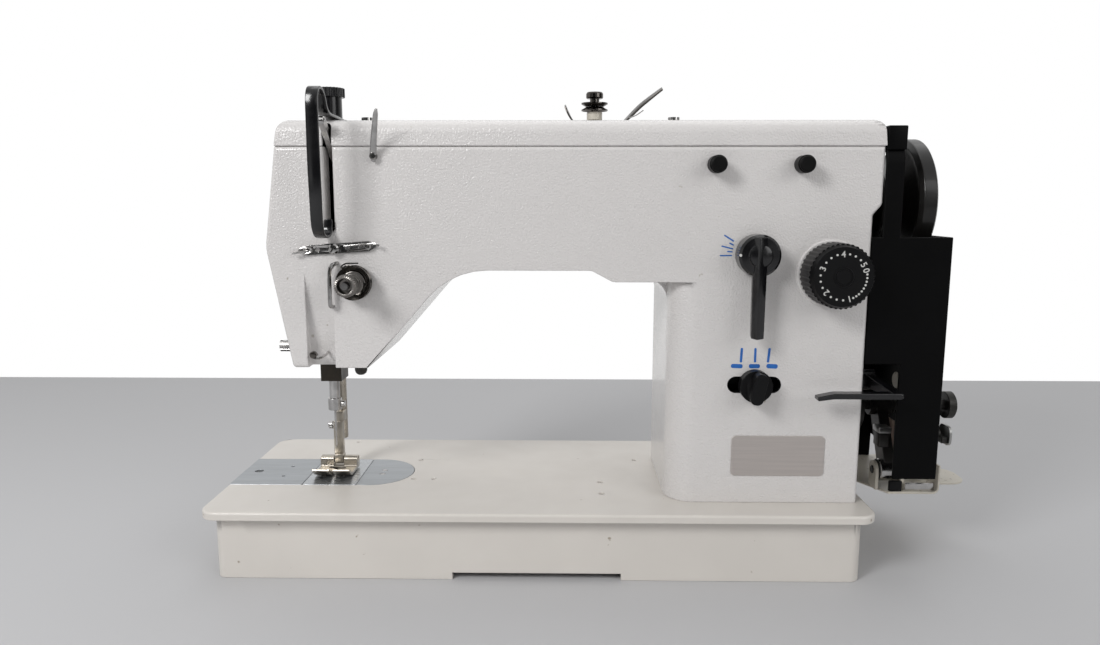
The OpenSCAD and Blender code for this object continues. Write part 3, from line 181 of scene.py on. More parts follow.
def asPiece(bm, name, finish, body, replaced=(), smooth=30, inRow=False):
    if not inRow:
        bmesh.ops.transform(bm, matrix=toRow, verts=bm.verts)
    mesh = bpy.data.meshes.new(name)
    bm.to_mesh(mesh)
    bm.free()
    mesh.shade_smooth()
    mesh.set_sharp_from_angle(angle=math.radians(smooth))
    mesh.materials.append(materials[finish])
    piece = bpy.data.objects.new(name, mesh)
    bpy.context.collection.objects.link(piece)
    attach(piece, body)
    if replaced:
        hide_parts(*replaced)
    return piece


def roundEdges(piece, width, segments=2):
    bevel = piece.modifiers.new("roundedEdges", "BEVEL")
    bevel.width = width / 1000
    bevel.segments = segments
    bevel.use_clamp_overlap = False
    bevel.limit_method = "WEIGHT"
    normals = piece.modifiers.new("evenNormals", "WEIGHTED_NORMAL")
    normals.keep_sharp = True


# Copy of a node's mesh whose outer edges are rounded by widthOf(edge, middle, normals) millimetres
def softened(node, widthOf, largest, segments=2, sharpest=32, cuts=0, chosen=None):
    bm = bmesh.new()
    bm.from_mesh(nodes[node].data)
    bmesh.ops.transform(bm, matrix=toWork, verts=bm.verts)
    bmesh.ops.remove_doubles(bm, verts=bm.verts, dist=0.03)
    bmesh.ops.dissolve_degenerate(bm, dist=0.02, edges=bm.edges)
    bmesh.ops.dissolve_limit(bm, angle_limit=math.radians(0.6), verts=bm.verts, edges=bm.edges)
    for axis in range(3 if cuts else 0):  # large flat faces are split, so that each stays simple
        low, high = min(v.co[axis] for v in bm.verts), max(v.co[axis] for v in bm.verts)
        for step in range(1, int((high - low) / cuts) + 1):
            place, normal = [0, 0, 0], [0, 0, 0]
            place[axis], normal[axis] = low + step * cuts + 0.137, 1
            bmesh.ops.bisect_plane(bm, geom=bm.verts[:] + bm.edges[:] + bm.faces[:], dist=0.001, plane_co=place,
                                   plane_no=normal)
    weight = bm.edges.layers.float.new("bevel_weight_edge")
    widthOf = chosen(bm) if chosen else widthOf
    for edge in bm.edges:
        if len(edge.link_faces) != 2 or edge.calc_face_angle_signed(0) < math.radians(sharpest):
            continue
        middle = (edge.verts[0].co + edge.verts[1].co) / 2
        width = widthOf(edge, middle, [face.normal for face in edge.link_faces])
        edge[weight] = max(0.0, min(1.0, width / largest))
    finish = finishOfNode.get(node, finishOfSlot[slotOfNode[node]])
    piece = asPiece(bm, node + "Soft", finish, bodyOfNode[node], [node], smooth=sharpest)
    roundEdges(piece, largest, segments)
    return piece


# Nodes whose edges all take one small rounding
softWidths = {"face_plate": 0.8, "rear_cover": 0.8, "front_plugs": 0.7, "name_plate": 0.25, "slide_plate": 0.3,
              "end_plate": 0.25, "needle_plate": 0.2, "thread_guide_plate": 0.3, "belt_guard_front": 0.7,
              "belt_guard_rear": 0.7, "winder_base": 0.4, "winder_arm": 0.5, "winder_pulley": 0.5,
              "winder_latch": 0.5, "winder_thumb_screw": 0.25, "handwheel": 0.5, "take_up_lever": 0.5,
              "needle_clamp": 0.2, "presser_foot": 0.35, "presser_knob": 0.35, "lifter_lever": 0.6,
              "position_knob": 0.35, "stitch_dial": 0.08, "reverse_lever": 0.5}
for node, width in softWidths.items():
    softened(node, lambda edge, middle, normals, width=width: width, width, cuts=28 if node == "rear_cover" else 0)
print("small roundings:", len(softWidths))

armSizes = {"front": 26, "back": 136, "corner": 2.7, "rear": 1.2, "small": 0.6, "recess": (75.5, 95.0),
            "slot": ((368, 20, 77), (415, 30, 97))}


# Whether an edge runs round the flat face at Y = level
def onOutline(edge, level, normals):
    a = armSizes
    flat = [abs(normal.y) > 0.99 for normal in normals]
    inRecess = any(all(abs(v.co.x - x) < 0.1 for v in edge.verts) for x in a["recess"])
    return sum(flat) == 1 and not inRecess and all(abs(v.co.y - level) < 0.05 for v in edge.verts)


# Edges joined to the one at the top left of the flat face at Y = level
def outerLoop(bm, level):
    free = {e for e in bm.edges if len(e.link_faces) == 2 and e.calc_face_angle_signed(0) > 0.55
            and onOutline(e, level, [f.normal for f in e.link_faces])}
    start = min(free, key=lambda e: e.verts[0].co.x - 0.3 * e.verts[0].co.z)
    found, todo = {start}, [start]
    while todo:
        for vert in todo.pop().verts:
            for near in vert.link_edges:
                if near in free and near not in found:
                    found.add(near)
                    todo.append(near)
    return found


def armWidths(bm):
    front, rear = outerLoop(bm, armSizes["front"]), outerLoop(bm, armSizes["back"])
    low, high = armSizes["slot"]

    def width(edge, middle, normals):
        if edge in front:
            return armSizes["corner"]
        if edge in rear:
            return armSizes["rear"]
        return 0 if all(a < c < b for a, c, b in zip(low, middle, high)) else armSizes["small"]

    return width


softened("arm", None, armSizes["corner"], 4, cuts=31, chosen=armWidths)

coverSizes = {"edge": 0.8, "plainFrom": 471}
softened("top_cover", lambda edge, middle, normals: coverSizes["edge"] if middle.x < coverSizes["plainFrom"] else 0,
         coverSizes["edge"], 3, cuts=37)

bedSizes = {"rim": 1.6, "small": 0.5, "length": 476, "depth": 178, "corner": 14}


def bedEdge(edge, middle, normals):
    b = bedSizes
    away = min(normals, key=lambda normal: abs(normal.z))
    atEnd = middle.x < b["corner"] or middle.x > b["length"] - b["corner"]
    atRim = atEnd or middle.y < 1 or middle.y > b["depth"] - 1
    onTop = all(abs(v.co.z) < 0.05 for v in edge.verts)
    outwards = (middle - Vector((b["length"] / 2, b["depth"] / 2, 0))).dot(away) > 0
    return b["rim"] if onTop and atRim and outwards else b["small"]


softened("bed", bedEdge, bedSizes["rim"], 3, cuts=33)
print("castings rounded")


# ---- small fittings ----

# Cone or cylinder centred at x, y, z
def disc(bm, x, y, z, axis, r0, r1, depth, sides=64):
    turn = {"x": Matrix.Rotation(math.radians(90), 4, "Y"), "y": Matrix.Rotation(math.radians(90), 4, "X"),
            "z": Matrix.Identity(4)}[axis]
    return bmesh.ops.create_cone(bm, cap_ends=True, segments=sides, radius1=r0, radius2=r1, depth=depth,
                                 matrix=Matrix.Translation((x, y, z)) @ turn)["verts"]


def slab(bm, low, high):
    centre = [(a + b) / 2 for a, b in zip(low, high)]
    size = [b - a for a, b in zip(low, high)]
    return bmesh.ops.create_cube(bm, size=1, matrix=Matrix.Translation(centre) @ Matrix.Diagonal((*size, 1)))["verts"]


# Turns a profile of (radius, along) points round an axis through centre
def spun(bm, profile, centre, axis, steps=64):
    along = Vector(axis)
    side = Vector((1, 0, 0)) if abs(along.x) < 0.5 else Vector((0, 0, 1))
    points = [bm.verts.new(Vector(centre) + side * r + along * h) for r, h in profile]
    edges = [bm.edges.new(pair) for pair in zip(points, points[1:])]
    bmesh.ops.spin(bm, geom=points + edges, cent=centre, axis=axis, angle=math.tau, steps=steps, use_merge=True)
    bmesh.ops.remove_doubles(bm, verts=bm.verts, dist=0.001)
    bmesh.ops.recalc_face_normals(bm, faces=bm.faces)


# Strip swept along a path; widthways is the strip's width as a vector, or one for each point
def ribbon(bm, path, widthways):
    wide = widthways if isinstance(widthways, list) else [widthways] * len(path)
    ends = [bm.verts.new(Vector(path[0]) + s * Vector(wide[0]) / 2) for s in (-1, 1)]
    edge = bm.edges.new(ends)
    for point, width in zip(path[1:], wide[1:]):
        grown = bmesh.ops.extrude_edge_only(bm, edges=[edge])["geom"]
        new = [v for v in grown if isinstance(v, bmesh.types.BMVert)]
        edge = next(e for e in grown if isinstance(e, bmesh.types.BMEdge) and all(v in new for v in e.verts))
        first = new if (new[0].co - ends[0].co).length < (new[1].co - ends[0].co).length else new[::-1]
        for v, s in zip(first, (-1, 1)):
            v.co = Vector(point) + s * Vector(width) / 2
        ends = first


# Points of a smooth curve through the given ones, whatever their number of values
def smoothPath(points, steps=6):
    points = [Vector(p) for p in points]
    path = []
    for k in range(len(points) - 1):
        a, b, c, d = (points[max(0, min(len(points) - 1, k + i))] for i in (-1, 0, 1, 2))
        for step in range(steps):
            t = step / steps
            path.append(0.5 * (2 * b + (c - a) * t + (2 * a - 5 * b + 4 * c - d) * t * t
                               + (3 * b - a - 3 * c + d) * t ** 3))
    return path + [points[-1]]


# Turns a flat ribbon piece into a sheet with softened edges
def thickened(piece, thick, edge):
    sheet = piece.modifiers.new("sheet", "SOLIDIFY")
    sheet.thickness = thick / 1000
    sheet.offset = 0
    bevel = piece.modifiers.new("edge", "BEVEL")
    bevel.width = edge / 1000
    bevel.segments = 2


# Round wires through smooth paths, as one mesh
def wirePiece(name, paths, radius, finish, body, replaced=()):
    curve = bpy.data.curves.new(name, "CURVE")
    curve.dimensions = "3D"
    curve.bevel_depth = radius / 1000
    curve.bevel_resolution = 3
    curve.use_fill_caps = True
    curve.resolution_u = 8
    for path in paths:
        spline = curve.splines.new("NURBS")
        spline.points.add(len(path) - 1)
        for point, place in zip(spline.points, path):
            point.co = (*(toRow @ Vector(place)), 1)
        spline.order_u = 3
        spline.use_endpoint_u = True
    holder = bpy.data.objects.new(name + "Curve", curve)
    bpy.context.collection.objects.link(holder)
    mesh = bpy.data.meshes.new_from_object(holder.evaluated_get(bpy.context.evaluated_depsgraph_get()))
    bpy.data.objects.remove(holder)
    bm = bmesh.new()
    bm.from_mesh(mesh)
    bmesh.ops.remove_doubles(bm, verts=bm.verts, dist=1e-6)
    bmesh.ops.recalc_face_normals(bm, faces=bm.faces)
    piece = asPiece(bm, name, finish, body, replaced, inRow=True)
    piece.data.materials.clear()
    piece.data.materials.append(materials[finish])
    return piece


def bevelAll(bm, width, segments=2, angle=30):
    sharp = [e for e in bm.edges if len(e.link_faces) == 2 and e.calc_face_angle(0) > math.radians(angle)]
    bmesh.ops.bevel(bm, geom=sharp, offset=width, segments=segments, profile=0.5, affect="EDGES", material=-1)


# Stitch-length dial: pale ring behind it, a raised ring round its button, numbers and dots
dial = {"x": 441, "z": 166, "face": -1.5, "ring": 23.4, "numbers": 14.9, "numberSize": 4.2, "capital": 0.72,
        "dotsAt": 14.9 * 1.03, "dotSize": 0.72,
        "angles": {"0": 73, "1": 163, "2": 227, "3": 291.6, "4": 356.4, "5": 57},
        "dots": (83, 92, 101, 110, 119, 127.6, 137, 145, 153.6, 179, 195, 211, 242.5, 258.7, 274.4, 308.4, 324.7,
                 341.1, 12, 27, 43)}
bm = bmesh.new()
spun(bm, [(17.3, 24.2), (dial["ring"] - 0.8, 24.2), (dial["ring"], 25), (dial["ring"], 26), (17.3, 26), (17.3, 24.2)],
     (dial["x"], 0, dial["z"]), (0, 1, 0))
asPiece(bm, "dialRing", "armEnamel", "machine")
bm = bmesh.new()
spun(bm, [(5.3, -1.45), (5.5, -2.0), (6.4, -2.0), (6.7, -1.45), (5.3, -1.45)], (dial["x"], 0, dial["z"]), (0, 1, 0))
asPiece(bm, "dialButtonRim", "blackPlastic", "stitch_dial")
bm = bmesh.new()
for angle in dial["dots"]:
    a = math.radians(angle)
    disc(bm, dial["x"] + dial["dotsAt"] * math.sin(a), dial["face"] - 0.05,
         dial["z"] + dial["dotsAt"] * math.cos(a), "y", dial["dotSize"], dial["dotSize"], 0.12, 20)
asPiece(bm, "dialDots", "whiteInk", "stitch_dial")
bm = bmesh.new()
for number, angle in dial["angles"].items():
    words = bpy.data.curves.new("number", "FONT")
    words.body = number
    words.size = dial["numberSize"] / dial["capital"]  # a letter's height is this share of its size
    words.align_x = "CENTER"
    words.align_y = "CENTER"
    words.extrude = 0.05
    words.offset = 0.06
    holder = bpy.data.objects.new("number", words)
    bpy.context.collection.objects.link(holder)
    mesh = bpy.data.meshes.new_from_object(holder.evaluated_get(bpy.context.evaluated_depsgraph_get()))
    bpy.data.objects.remove(holder)
    a = math.radians(angle)
    mesh.transform(Matrix.Translation((dial["x"] + dial["numbers"] * math.sin(a), dial["face"] - 0.06,
                                       dial["z"] + dial["numbers"] * math.cos(a)))
                   @ Matrix.Rotation(a, 4, "Y") @ Matrix.Rotation(math.radians(90), 4, "X"))
    bm.from_mesh(mesh)
piece = asPiece(bm, "dialNumbers", "whiteInk", "stitch_dial")
piece.data.materials.clear()
piece.data.materials.append(materials["whiteInk"])
print("dial marked")

# Blue marks painted on the pillar
marks = {"face": 25.94, "thick": 0.08,
         "fan": (((367.3, 192.2), (373.6, 188.2), 1.0), ((371, 186.8), (373.6, 185.5), 0.9),
                 ((365.6, 184.8), (373.2, 182.9), 0.9), ((369.6, 181.1), (373, 180.8), 0.8),
                 ((364.7, 178.2), (372.6, 178.3), 0.9)),
         "strokes": (((382, 113), (381.6, 103.6), 1.7), ((391.5, 113), (391.5, 103.6), 1.6),
                     ((401.4, 113), (400.6, 103.6), 1.7)),
         "dashes": (((375.6, 100.6), (382, 100.4), 3.0), ((388.2, 100.5), (394.2, 100.5), 3.0),
                    ((400.6, 100.6), (406.6, 100.3), 3.2))}
bm = bmesh.new()
for group in ("fan", "strokes", "dashes"):
    for (x0, z0), (x1, z1), width in marks[group]:
        length = math.hypot(x1 - x0, z1 - z0)
        tilt = -math.atan2(z1 - z0, x1 - x0)
        place = Matrix.Translation(((x0 + x1) / 2, marks["face"], (z0 + z1) / 2)) @ Matrix.Rotation(tilt, 4, "Y")
        size = Matrix.Diagonal((length + width * 0.6, marks["thick"], width, 1))
        made = bmesh.ops.create_cube(bm, size=1, matrix=place @ size)
        upright = {e for v in made["verts"] for e in v.link_edges
                   if abs(e.verts[0].co.y - e.verts[1].co.y) > 0.05}
        bmesh.ops.bevel(bm, geom=list(upright), offset=width * 0.42, segments=4, profile=0.5, affect="EDGES",
                        material=-1)
asPiece(bm, "blueMarks", "blueInk", "machine")

# Black lining of the knob's slot, with a black backing behind the wall: both are painted shade, dark sheets standing
# in for the shade inside the slot
slot = {"x0": 372.5, "x1": 410.5, "z": 87, "r": 6, "inner": 35.2, "depth": 9.3, "shadeBacking": 38.5}
# Black sheet behind the wall, seen through the slot: painted shade of the hollow inside
bm = bmesh.new()
slab(bm, (slot["x0"] - 2, slot["shadeBacking"], slot["z"] - 9), (slot["x1"] + 2, slot["shadeBacking"] + 1, slot["z"] + 9))
bevelAll(bm, 0.3)
asPiece(bm, "slotShadeBacking", "plugPlastic", "machine")
points = []
for centre, start in ((slot["x1"] - slot["r"], -90), (slot["x0"] + slot["r"], 90)):
    for step in range(13):
        a = math.radians(start + 15 * step)
        points.append((centre + (slot["r"] - 0.25) * math.cos(a), slot["inner"],
                       slot["z"] + (slot["r"] - 0.25) * math.sin(a)))
# Black walls round the slot's sides: painted shade of the slot
shadeLiner = bmesh.new()
loop = [shadeLiner.verts.new(p) for p in points]
rim = [shadeLiner.edges.new((a, b)) for a, b in zip(loop, loop[1:] + loop[:1])]
grown = bmesh.ops.extrude_edge_only(shadeLiner, edges=rim)["geom"]
bmesh.ops.translate(shadeLiner, vec=(0, -slot["depth"], 0), verts=[v for v in grown if isinstance(v, bmesh.types.BMVert)])
bmesh.ops.recalc_face_normals(shadeLiner, faces=shadeLiner.faces)
shadeLinerPiece = asPiece(shadeLiner, "slotShadeLining", "plugPlastic", "machine")
wall = shadeLinerPiece.modifiers.new("wall", "SOLIDIFY")
wall.thickness = 0.0004
wall.offset = 0
print("marks and slot made")

# Guard over the take-up lever: curved strap, and the plate its top end is fixed to (x, y, z, width)
strap = {"path": ((94.3, 24.7, 203, 5.4), (94.1, 24.2, 196, 6.2), (93.4, 21, 192.4, 7), (92.6, 15, 191.3, 7.6),
                  (92.4, 9, 193.4, 7.9), (92.9, 3.6, 199, 8), (93.8, -0.4, 207, 8.1), (94.5, -2.9, 217, 8.2),
                  (94.7, -4.2, 230, 8.3), (94.8, -4.8, 250, 8.3), (94.8, -4.6, 268, 8.2), (94.8, -4.2, 279, 8.1),
                  (94.8, -2, 285.4, 8), (94.7, 2.6, 288, 8), (94.6, 8, 287.9, 8), (94.5, 12.6, 285.6, 8),
                  (94.3, 16.4, 281.6, 8), (94, 20, 277.6, 8), (93.6, 25, 274.9, 8.4), (93, 32, 273.8, 9),
                  (91.5, 50, 273.7, 11), (89, 70, 273.7, 13), (86, 89.5, 273.7, 15)), "thick": 2, "cut": 89}
bm = bmesh.new()
path = smoothPath(strap["path"], 5)
ribbon(bm, [p[:3] for p in path], [(p[3], 0, 0) for p in path])
thickened(asPiece(bm, "takeUpStrap", "blackGloss", "machine", ["take_up_guard"]), strap["thick"], 0.5)
bm = bmesh.new()
bm.from_mesh(nodes["take_up_guard"].data)
bmesh.ops.transform(bm, matrix=toWork, verts=bm.verts)
bmesh.ops.remove_doubles(bm, verts=bm.verts, dist=0.01)
bmesh.ops.bisect_plane(bm, geom=bm.verts[:] + bm.edges[:] + bm.faces[:], dist=0.001, plane_co=(0, strap["cut"], 0),
                       plane_no=(0, 1, 0), clear_inner=True)
bmesh.ops.holes_fill(bm, edges=[e for e in bm.edges if len(e.link_faces) == 1])
asPiece(bm, "takeUpPlate", "blackGloss", "machine")

# Rods, loop and slotted screw on the lower thread guide, along its own slope
guide = {"x": 98, "z": 182.7, "slope": math.radians(4)}


def onGuide(along, out, up):
    c, t = math.cos(guide["slope"]), math.sin(guide["slope"])
    return guide["x"] + along * c - up * t, 26 - out, guide["z"] + along * t + up * c


wirePiece("guideRods", [[onGuide(7, 3.4, 1.4), onGuide(20, 3.6, 1.9), onGuide(24.6, 3.4, 1.4), onGuide(25.4, 3.2, 0),
                         onGuide(23.6, 3.2, -1.5), onGuide(9, 3.2, -1.7)],
                        [onGuide(22, 3.2, 1.6), onGuide(27, 4.4, 2), onGuide(31, 5.4, 1.2), onGuide(31.6, 5, 0)],
                        [onGuide(-29.2, 4.6, -1.2), onGuide(-24, 4.2, -0.8), onGuide(-18.4, 3.4, -0.4)]],
          0.85, "chrome", "machine")
wirePiece("guideLoop", [[onGuide(-20 + 4.6 * math.cos(a), 2.9, 0.2 + 2.2 * math.sin(a))
                         for a in (math.tau * k / 12 for k in range(13))]], 0.6, "chrome", "machine")
bm = bmesh.new()
spun(bm, [(0, 19.6), (2.6, 20), (3.7, 21), (3.9, 22.4), (3.9, 23.4), (0, 23.4)], onGuide(0, 26, 0), (0, 1, 0), 40)
asPiece(bm, "guideScrew", "chrome", "machine")
# Dark strip across the screw's domed head: painted shade standing in for its slot's groove
bm = bmesh.new()
bmesh.ops.create_cube(bm, size=1, matrix=Matrix.Translation(onGuide(0, 6.6, 0))
                      @ Matrix.Rotation(math.radians(-52), 4, "Y") @ Matrix.Diagonal((5.6, 0.5, 0.9, 1)))
asPiece(bm, "guideScrewSlotShade", "darkSteel", "machine")

bm = bmesh.new()
spun(bm, [(0, 23.4), (1.9, 23.6), (2.5, 24.4), (2.5, 27), (0, 27)], (79.6, 0, 107.6), (0, 1, 0), 32)
asPiece(bm, "eyeletScrew", "discSteel", "machine")

# Top thread guide: twisted wings, plate, post and pale collar
top = {"x": 278.8, "y": 70, "z": 270.5,
       "left": ((-9, 1, 0, 12, 0), (-13, 1.3, 0, 12, 0.4), (-16, 3, 0, 11.5, 1.2), (-19, 8, 0, 10.5, 2.6),
                (-21.4, 13.4, 0, 8, 2.4)),
       "right": ((12, 1, 0, 11, 0), (18, 1.1, 0, 10, 0), (22, 2.6, 0, 8.5, 1.6), (27, 7.2, 0, 7.5, 3),
                 (33, 13, 0, 7, 3.2), (40, 18.6, 0, 6.5, 2.8), (49, 25.4, 0, 5, 2))}
topFoot = (top["x"], top["y"], top["z"])
bm = bmesh.new()
for wing in ("left", "right"):
    path = smoothPath(top[wing], 5)
    ribbon(bm, [(top["x"] + p[0], top["y"] + p[2], top["z"] + p[1]) for p in path], [(0, p[3], p[4]) for p in path])
thickened(asPiece(bm, "topGuideWings", "discSteel", "machine", ["top_guide_bracket"]), 1.2, 0.3)
bm = bmesh.new()
slab(bm, (top["x"] - 12, top["y"] - 6, top["z"] + 0.3), (top["x"] + 15, top["y"] + 6, top["z"] + 1.7))
bevelAll(bm, 0.3)
spun(bm, [(0, 1.6), (3.9, 1.6), (3.9, 3), (0, 3)], topFoot, (0, 0, 1), 40)
spun(bm, [(0, 8), (2.4, 8), (2.4, 21.6), (2, 22), (0, 22)], topFoot, (0, 0, 1), 32)
spun(bm, [(0, -2.9), (2.4, -2.9), (2.4, 0.6), (0, 0.6)], topFoot, (0, 0, 1), 32)
asPiece(bm, "topGuidePost", "chrome", "machine")
bm = bmesh.new()
spun(bm, [(0, 3), (5.2, 3), (5.6, 3.4), (5.6, 8.4), (5.2, 8.8), (0, 8.8)], topFoot, (0, 0, 1), 40)
asPiece(bm, "topGuideCollar", "baseEnamel", "machine")
wirePiece("topGuideWhisker", [[(top["x"] + 25, 66, top["z"] + 4.4), (top["x"] + 29, 65.4, top["z"] + 5.6),
                               (top["x"] + 32, 65, top["z"] + 7.4), (top["x"] + 35, 65, top["z"] + 9.6)]],
          0.4, "chrome", "machine")

bm = bmesh.new()
spun(bm, [(2.65, 15.4), (3.4, 15.5), (3.4, 18), (5.6, 18.2), (6.2, 18.9), (6.2, 21.6), (5.5, 22.7), (2.3, 22.9),
          (1.9, 22.2), (0, 22.1)], topFoot, (0, 0, 1), 48)
asPiece(bm, "topGuideKnob", "discSteel", bodyOfNode["top_guide_nut"], ["top_guide_nut"])

# Stud under the head, and the cap over the belt guard's neck
bm = bmesh.new()
spun(bm, [(0, 88.6), (2.2, 88.8), (3.8, 90), (4.5, 92), (4.5, 98), (0, 98)], (107.5, 48, 0), (0, 0, 1), 40)
asPiece(bm, "headStud", "darkSteel", "machine")
bm = bmesh.new()
slab(bm, (475.2, 25.3, 250), (488.2, 58, 266))
bevelAll(bm, 0.8, 3)
asPiece(bm, "guardCap", "blackSheet", "machine")
print("strap and guides made")

# Flat blade of the upper thread guide, held by a screw
blade = {"path": ((127, 23.4, 241.6), (127, 22.8, 245.5), (127.5, 21.6, 250), (128.8, 18.5, 256.5),
                  (130.8, 13.5, 264.5), (133, 7.6, 272), (134, 5.2, 275)),
         "width": (2.2, 4.6, 4.6, 4.2, 3.8, 3.2, 1.6), "tilt": -0.12}
bm = bmesh.new()
ribbon(bm, blade["path"], [(w, 0, blade["tilt"] * w) for w in blade["width"]])
thickened(asPiece(bm, "thread_guide_pinBlade", "chrome", "machine", ["thread_guide_pin"]), 1.1, 0.3)
bm = bmesh.new()
spun(bm, [(0, 20.6), (1.9, 20.8), (2.4, 21.4), (2.4, 22.4), (0, 22.4)], (127, 0, 245.5), (0, 1, 0), 32)
spun(bm, [(0, 24), (2.6, 24), (2.6, 26), (0, 26)], (127, 0, 245.5), (0, 1, 0), 32)
asPiece(bm, "thread_guide_pinScrew", "chrome", "machine")

# Smooth wires in place of the CAD's coarse ones
wirePiece("wireGuides", [[(94.7, 26.5, 142), (94.7, 22, 142.2), (94.6, 20, 144), (94.6, 20, 152), (94.6, 20, 165),
                          (95.2, 20, 169.2), (97, 21, 171.6), (98.6, 23.4, 172.4), (98.9, 26.5, 172.6)]],
          1.5, "chrome", "machine", ["wire_guides"])
wirePiece("headEyelet", [[(87.5, 35.5, 108), (86.5, 30, 106.2), (84, 26, 105), (80.6, 24.8, 105), (78.9, 26.6, 105.8),
                          (79.4, 29.6, 106.6), (81.4, 30.4, 107.2)]], 0.95, "chrome", "machine")
tension = {"x": 112, "y": 26, "z": 159.6}
coilPath = [(tension["x"] + (8 - 3.6 * k / 60) * math.cos(math.radians(30 * k)), tension["y"] - 9.4 - 11 * k / 60,
             tension["z"] + (8 - 3.6 * k / 60) * math.sin(math.radians(30 * k))) for k in range(61)]
wirePiece("tensionCoil", [coilPath], 0.6, "nutSteel", "machine", ["tension_spring"])
checkPath = [(tension["x"] + 9.6 * math.cos(math.radians(18 * k + 130)), tension["y"] - 1 - k * 0.11,
              tension["z"] + 9.6 * math.sin(math.radians(18 * k + 130))) for k in range(21)]
checkArm = [(tension["x"] + x, tension["y"] - out, tension["z"] + z) for x, z, out in
            ((-6.9, 8.8, 3.5), (-8.4, 9.8, 4.4), (-9.4, 10.4, 5), (-8.2, 11.8, 5.6), (-5.6, 13.2, 6.2),
             (-1.5, 13.4, 6.6), (3.4, 13.4, 6.8))]
innerArm = [(tension["x"] + x, tension["y"] - out, tension["z"] + z) for x, z, out in
            ((-9.2, 9.9, 4.9), (-7.6, 10.4, 5.6), (-5.4, 11.6, 6), (-3.4, 11.8, 6.2), (-2.6, 11.2, 6.2))]
wirePiece("checkCoil", [checkPath + checkArm, innerArm], 0.5, "discSteel", "check_spring",
          ["check_spring"])
print("wires made")

# Foot shank: flat bar with its hinge block and pin, clamp block, the bar's lower end and the clamp screw
shank = {"bar": ((71.4, 95.6, 11), (78.6, 101.2, 39.5)), "block": ((72.8, 96.6, 38.8), (79.4, 107, 47.4)),
         "hinge": ((72, 93.2, 5), (79, 101, 12.6)), "pin": (61, 90), "rod": (75.5, 109), "screw": (66.6, 71.6)}
bm = bmesh.new()
for part in ("bar", "hinge", "block"):
    slab(bm, *shank[part])
bevelAll(bm, 0.5, 3)
spun(bm, [(0, shank["pin"][0]), (1.55, shank["pin"][0]), (1.55, shank["pin"][1]), (0, shank["pin"][1])], (0, 97, 8),
     (1, 0, 0), 32)
spun(bm, [(0, 22.4), (3.4, 22.4), (3.98, 23), (3.98, 50), (3.4, 50.4), (0, 50.4)], (*shank["rod"], 0), (0, 0, 1), 48)
asPiece(bm, "shankBody", "footSteel", bodyOfNode["foot_shank"], ["foot_shank"])
bm = bmesh.new()
spun(bm, [(0, shank["screw"][0]), (2.4, shank["screw"][0] + 0.2), (3.1, shank["screw"][0] + 0.8),
          (3.1, shank["screw"][1] - 1.6), (2, shank["screw"][1] - 1.4), (2, shank["screw"][1]),
          (0, shank["screw"][1])], (0, 99.5, 35.6), (1, 0, 0), 40)
asPiece(bm, "shankScrew", "chrome", bodyOfNode["foot_shank"])

# Tension nut: knurled rim round a hollow face, on a plain neck
nut = {"x": tension["x"], "z": tension["z"], "teeth": 30, "toothDepth": 0.6, "rim": 7.7}
bm = bmesh.new()
spun(bm, [(2.7, 4.6), (5.6, 4.6), (5.9, 4.2), (5.9, 1.2), (nut["rim"] - 0.6, 0.7), (nut["rim"], 0.1),
          (nut["rim"], -5.2), (nut["rim"] - 0.7, -6.1), (nut["rim"] - 1.6, -6.4), (5.2, -6.1), (4.6, -4.4),
          (4.2, -2.6),
          (2.7, -2.4), (2.7, 4.6)], (nut["x"], 0, nut["z"]), (0, 1, 0), nut["teeth"] * 2)
for v in bm.verts:
    across, up = v.co.x - nut["x"], v.co.z - nut["z"]
    radius = math.hypot(across, up)
    inGap = round(math.atan2(up, across) / math.tau * nut["teeth"] * 2) % 2
    if inGap and radius > nut["rim"] - 1.7:
        v.co.x -= across / radius * nut["toothDepth"]
        v.co.z -= up / radius * nut["toothDepth"]
asPiece(bm, "nutBody", "nutSteel", "tension_nut", ["tension_nut"], 20)
# Near-black end of the post inside the nut's hollow face: painted shade of the hollow
bm = bmesh.new()
spun(bm, [(0, -3.4), (1.9, -3.4), (2.35, -3), (2.35, -1.4), (0, -1.4)], (nut["x"], 0, nut["z"]), (0, 1, 0), 32)
asPiece(bm, "postEndPaintedShade", "darkSteel", "machine")

# Bobbin winder: bright pivot sleeve, blocks on its arm, latch plate and the bracket on its base
winder = {"pivot": (66, 12), "sleeve": 8.5, "spindle": (90, 57), "block": ((496.6, 64.5, 40.6), (506.4, 77, 45.2)),
          "springBox": ((497.4, 66, 29), (506.2, 77, 40.6)), "armPlate": ((509, 71, 22), (511.2, 84, 49)),
          "bracket": ((503, 54.2, -1.6), (512.6, 57.4, 6.5)), "basePlate": ((515.5, 55.6, -1.6), (537.5, 56.6, 4.8)),
          "latchPlate": ((555.1, 74, 27.5), (556.9, 92, 42.5)), "buffer": (98, 75)}
bm = bmesh.new()
spun(bm, [(8.05, 497.6), (winder["sleeve"], 498.2), (winder["sleeve"], 510.8), (8.05, 511.4)],
     (0, *winder["pivot"]), (1, 0, 0), 48)
asPiece(bm, "winderSleeve", "chrome", "winder_arm")
bm = bmesh.new()
slab(bm, *winder["block"])
bevelAll(bm, 0.8, 3)
asPiece(bm, "winderBlock", "silverBlock", "winder_arm")
bm = bmesh.new()
slab(bm, *winder["springBox"])
bevelAll(bm, 1.5, 4)
asPiece(bm, "winderSpringBox", "darkSteel", "winder_arm")
bm = bmesh.new()
slab(bm, *winder["armPlate"])
bevelAll(bm, 0.5)
asPiece(bm, "winderArmPlate", "tanPlate", "winder_arm")
bm = bmesh.new()
slab(bm, *winder["bracket"])
bevelAll(bm, 0.8, 3)
asPiece(bm, "winderBracket", "blackPlastic", "machine")
bm = bmesh.new()
slab(bm, *winder["basePlate"])
bevelAll(bm, 0.3)
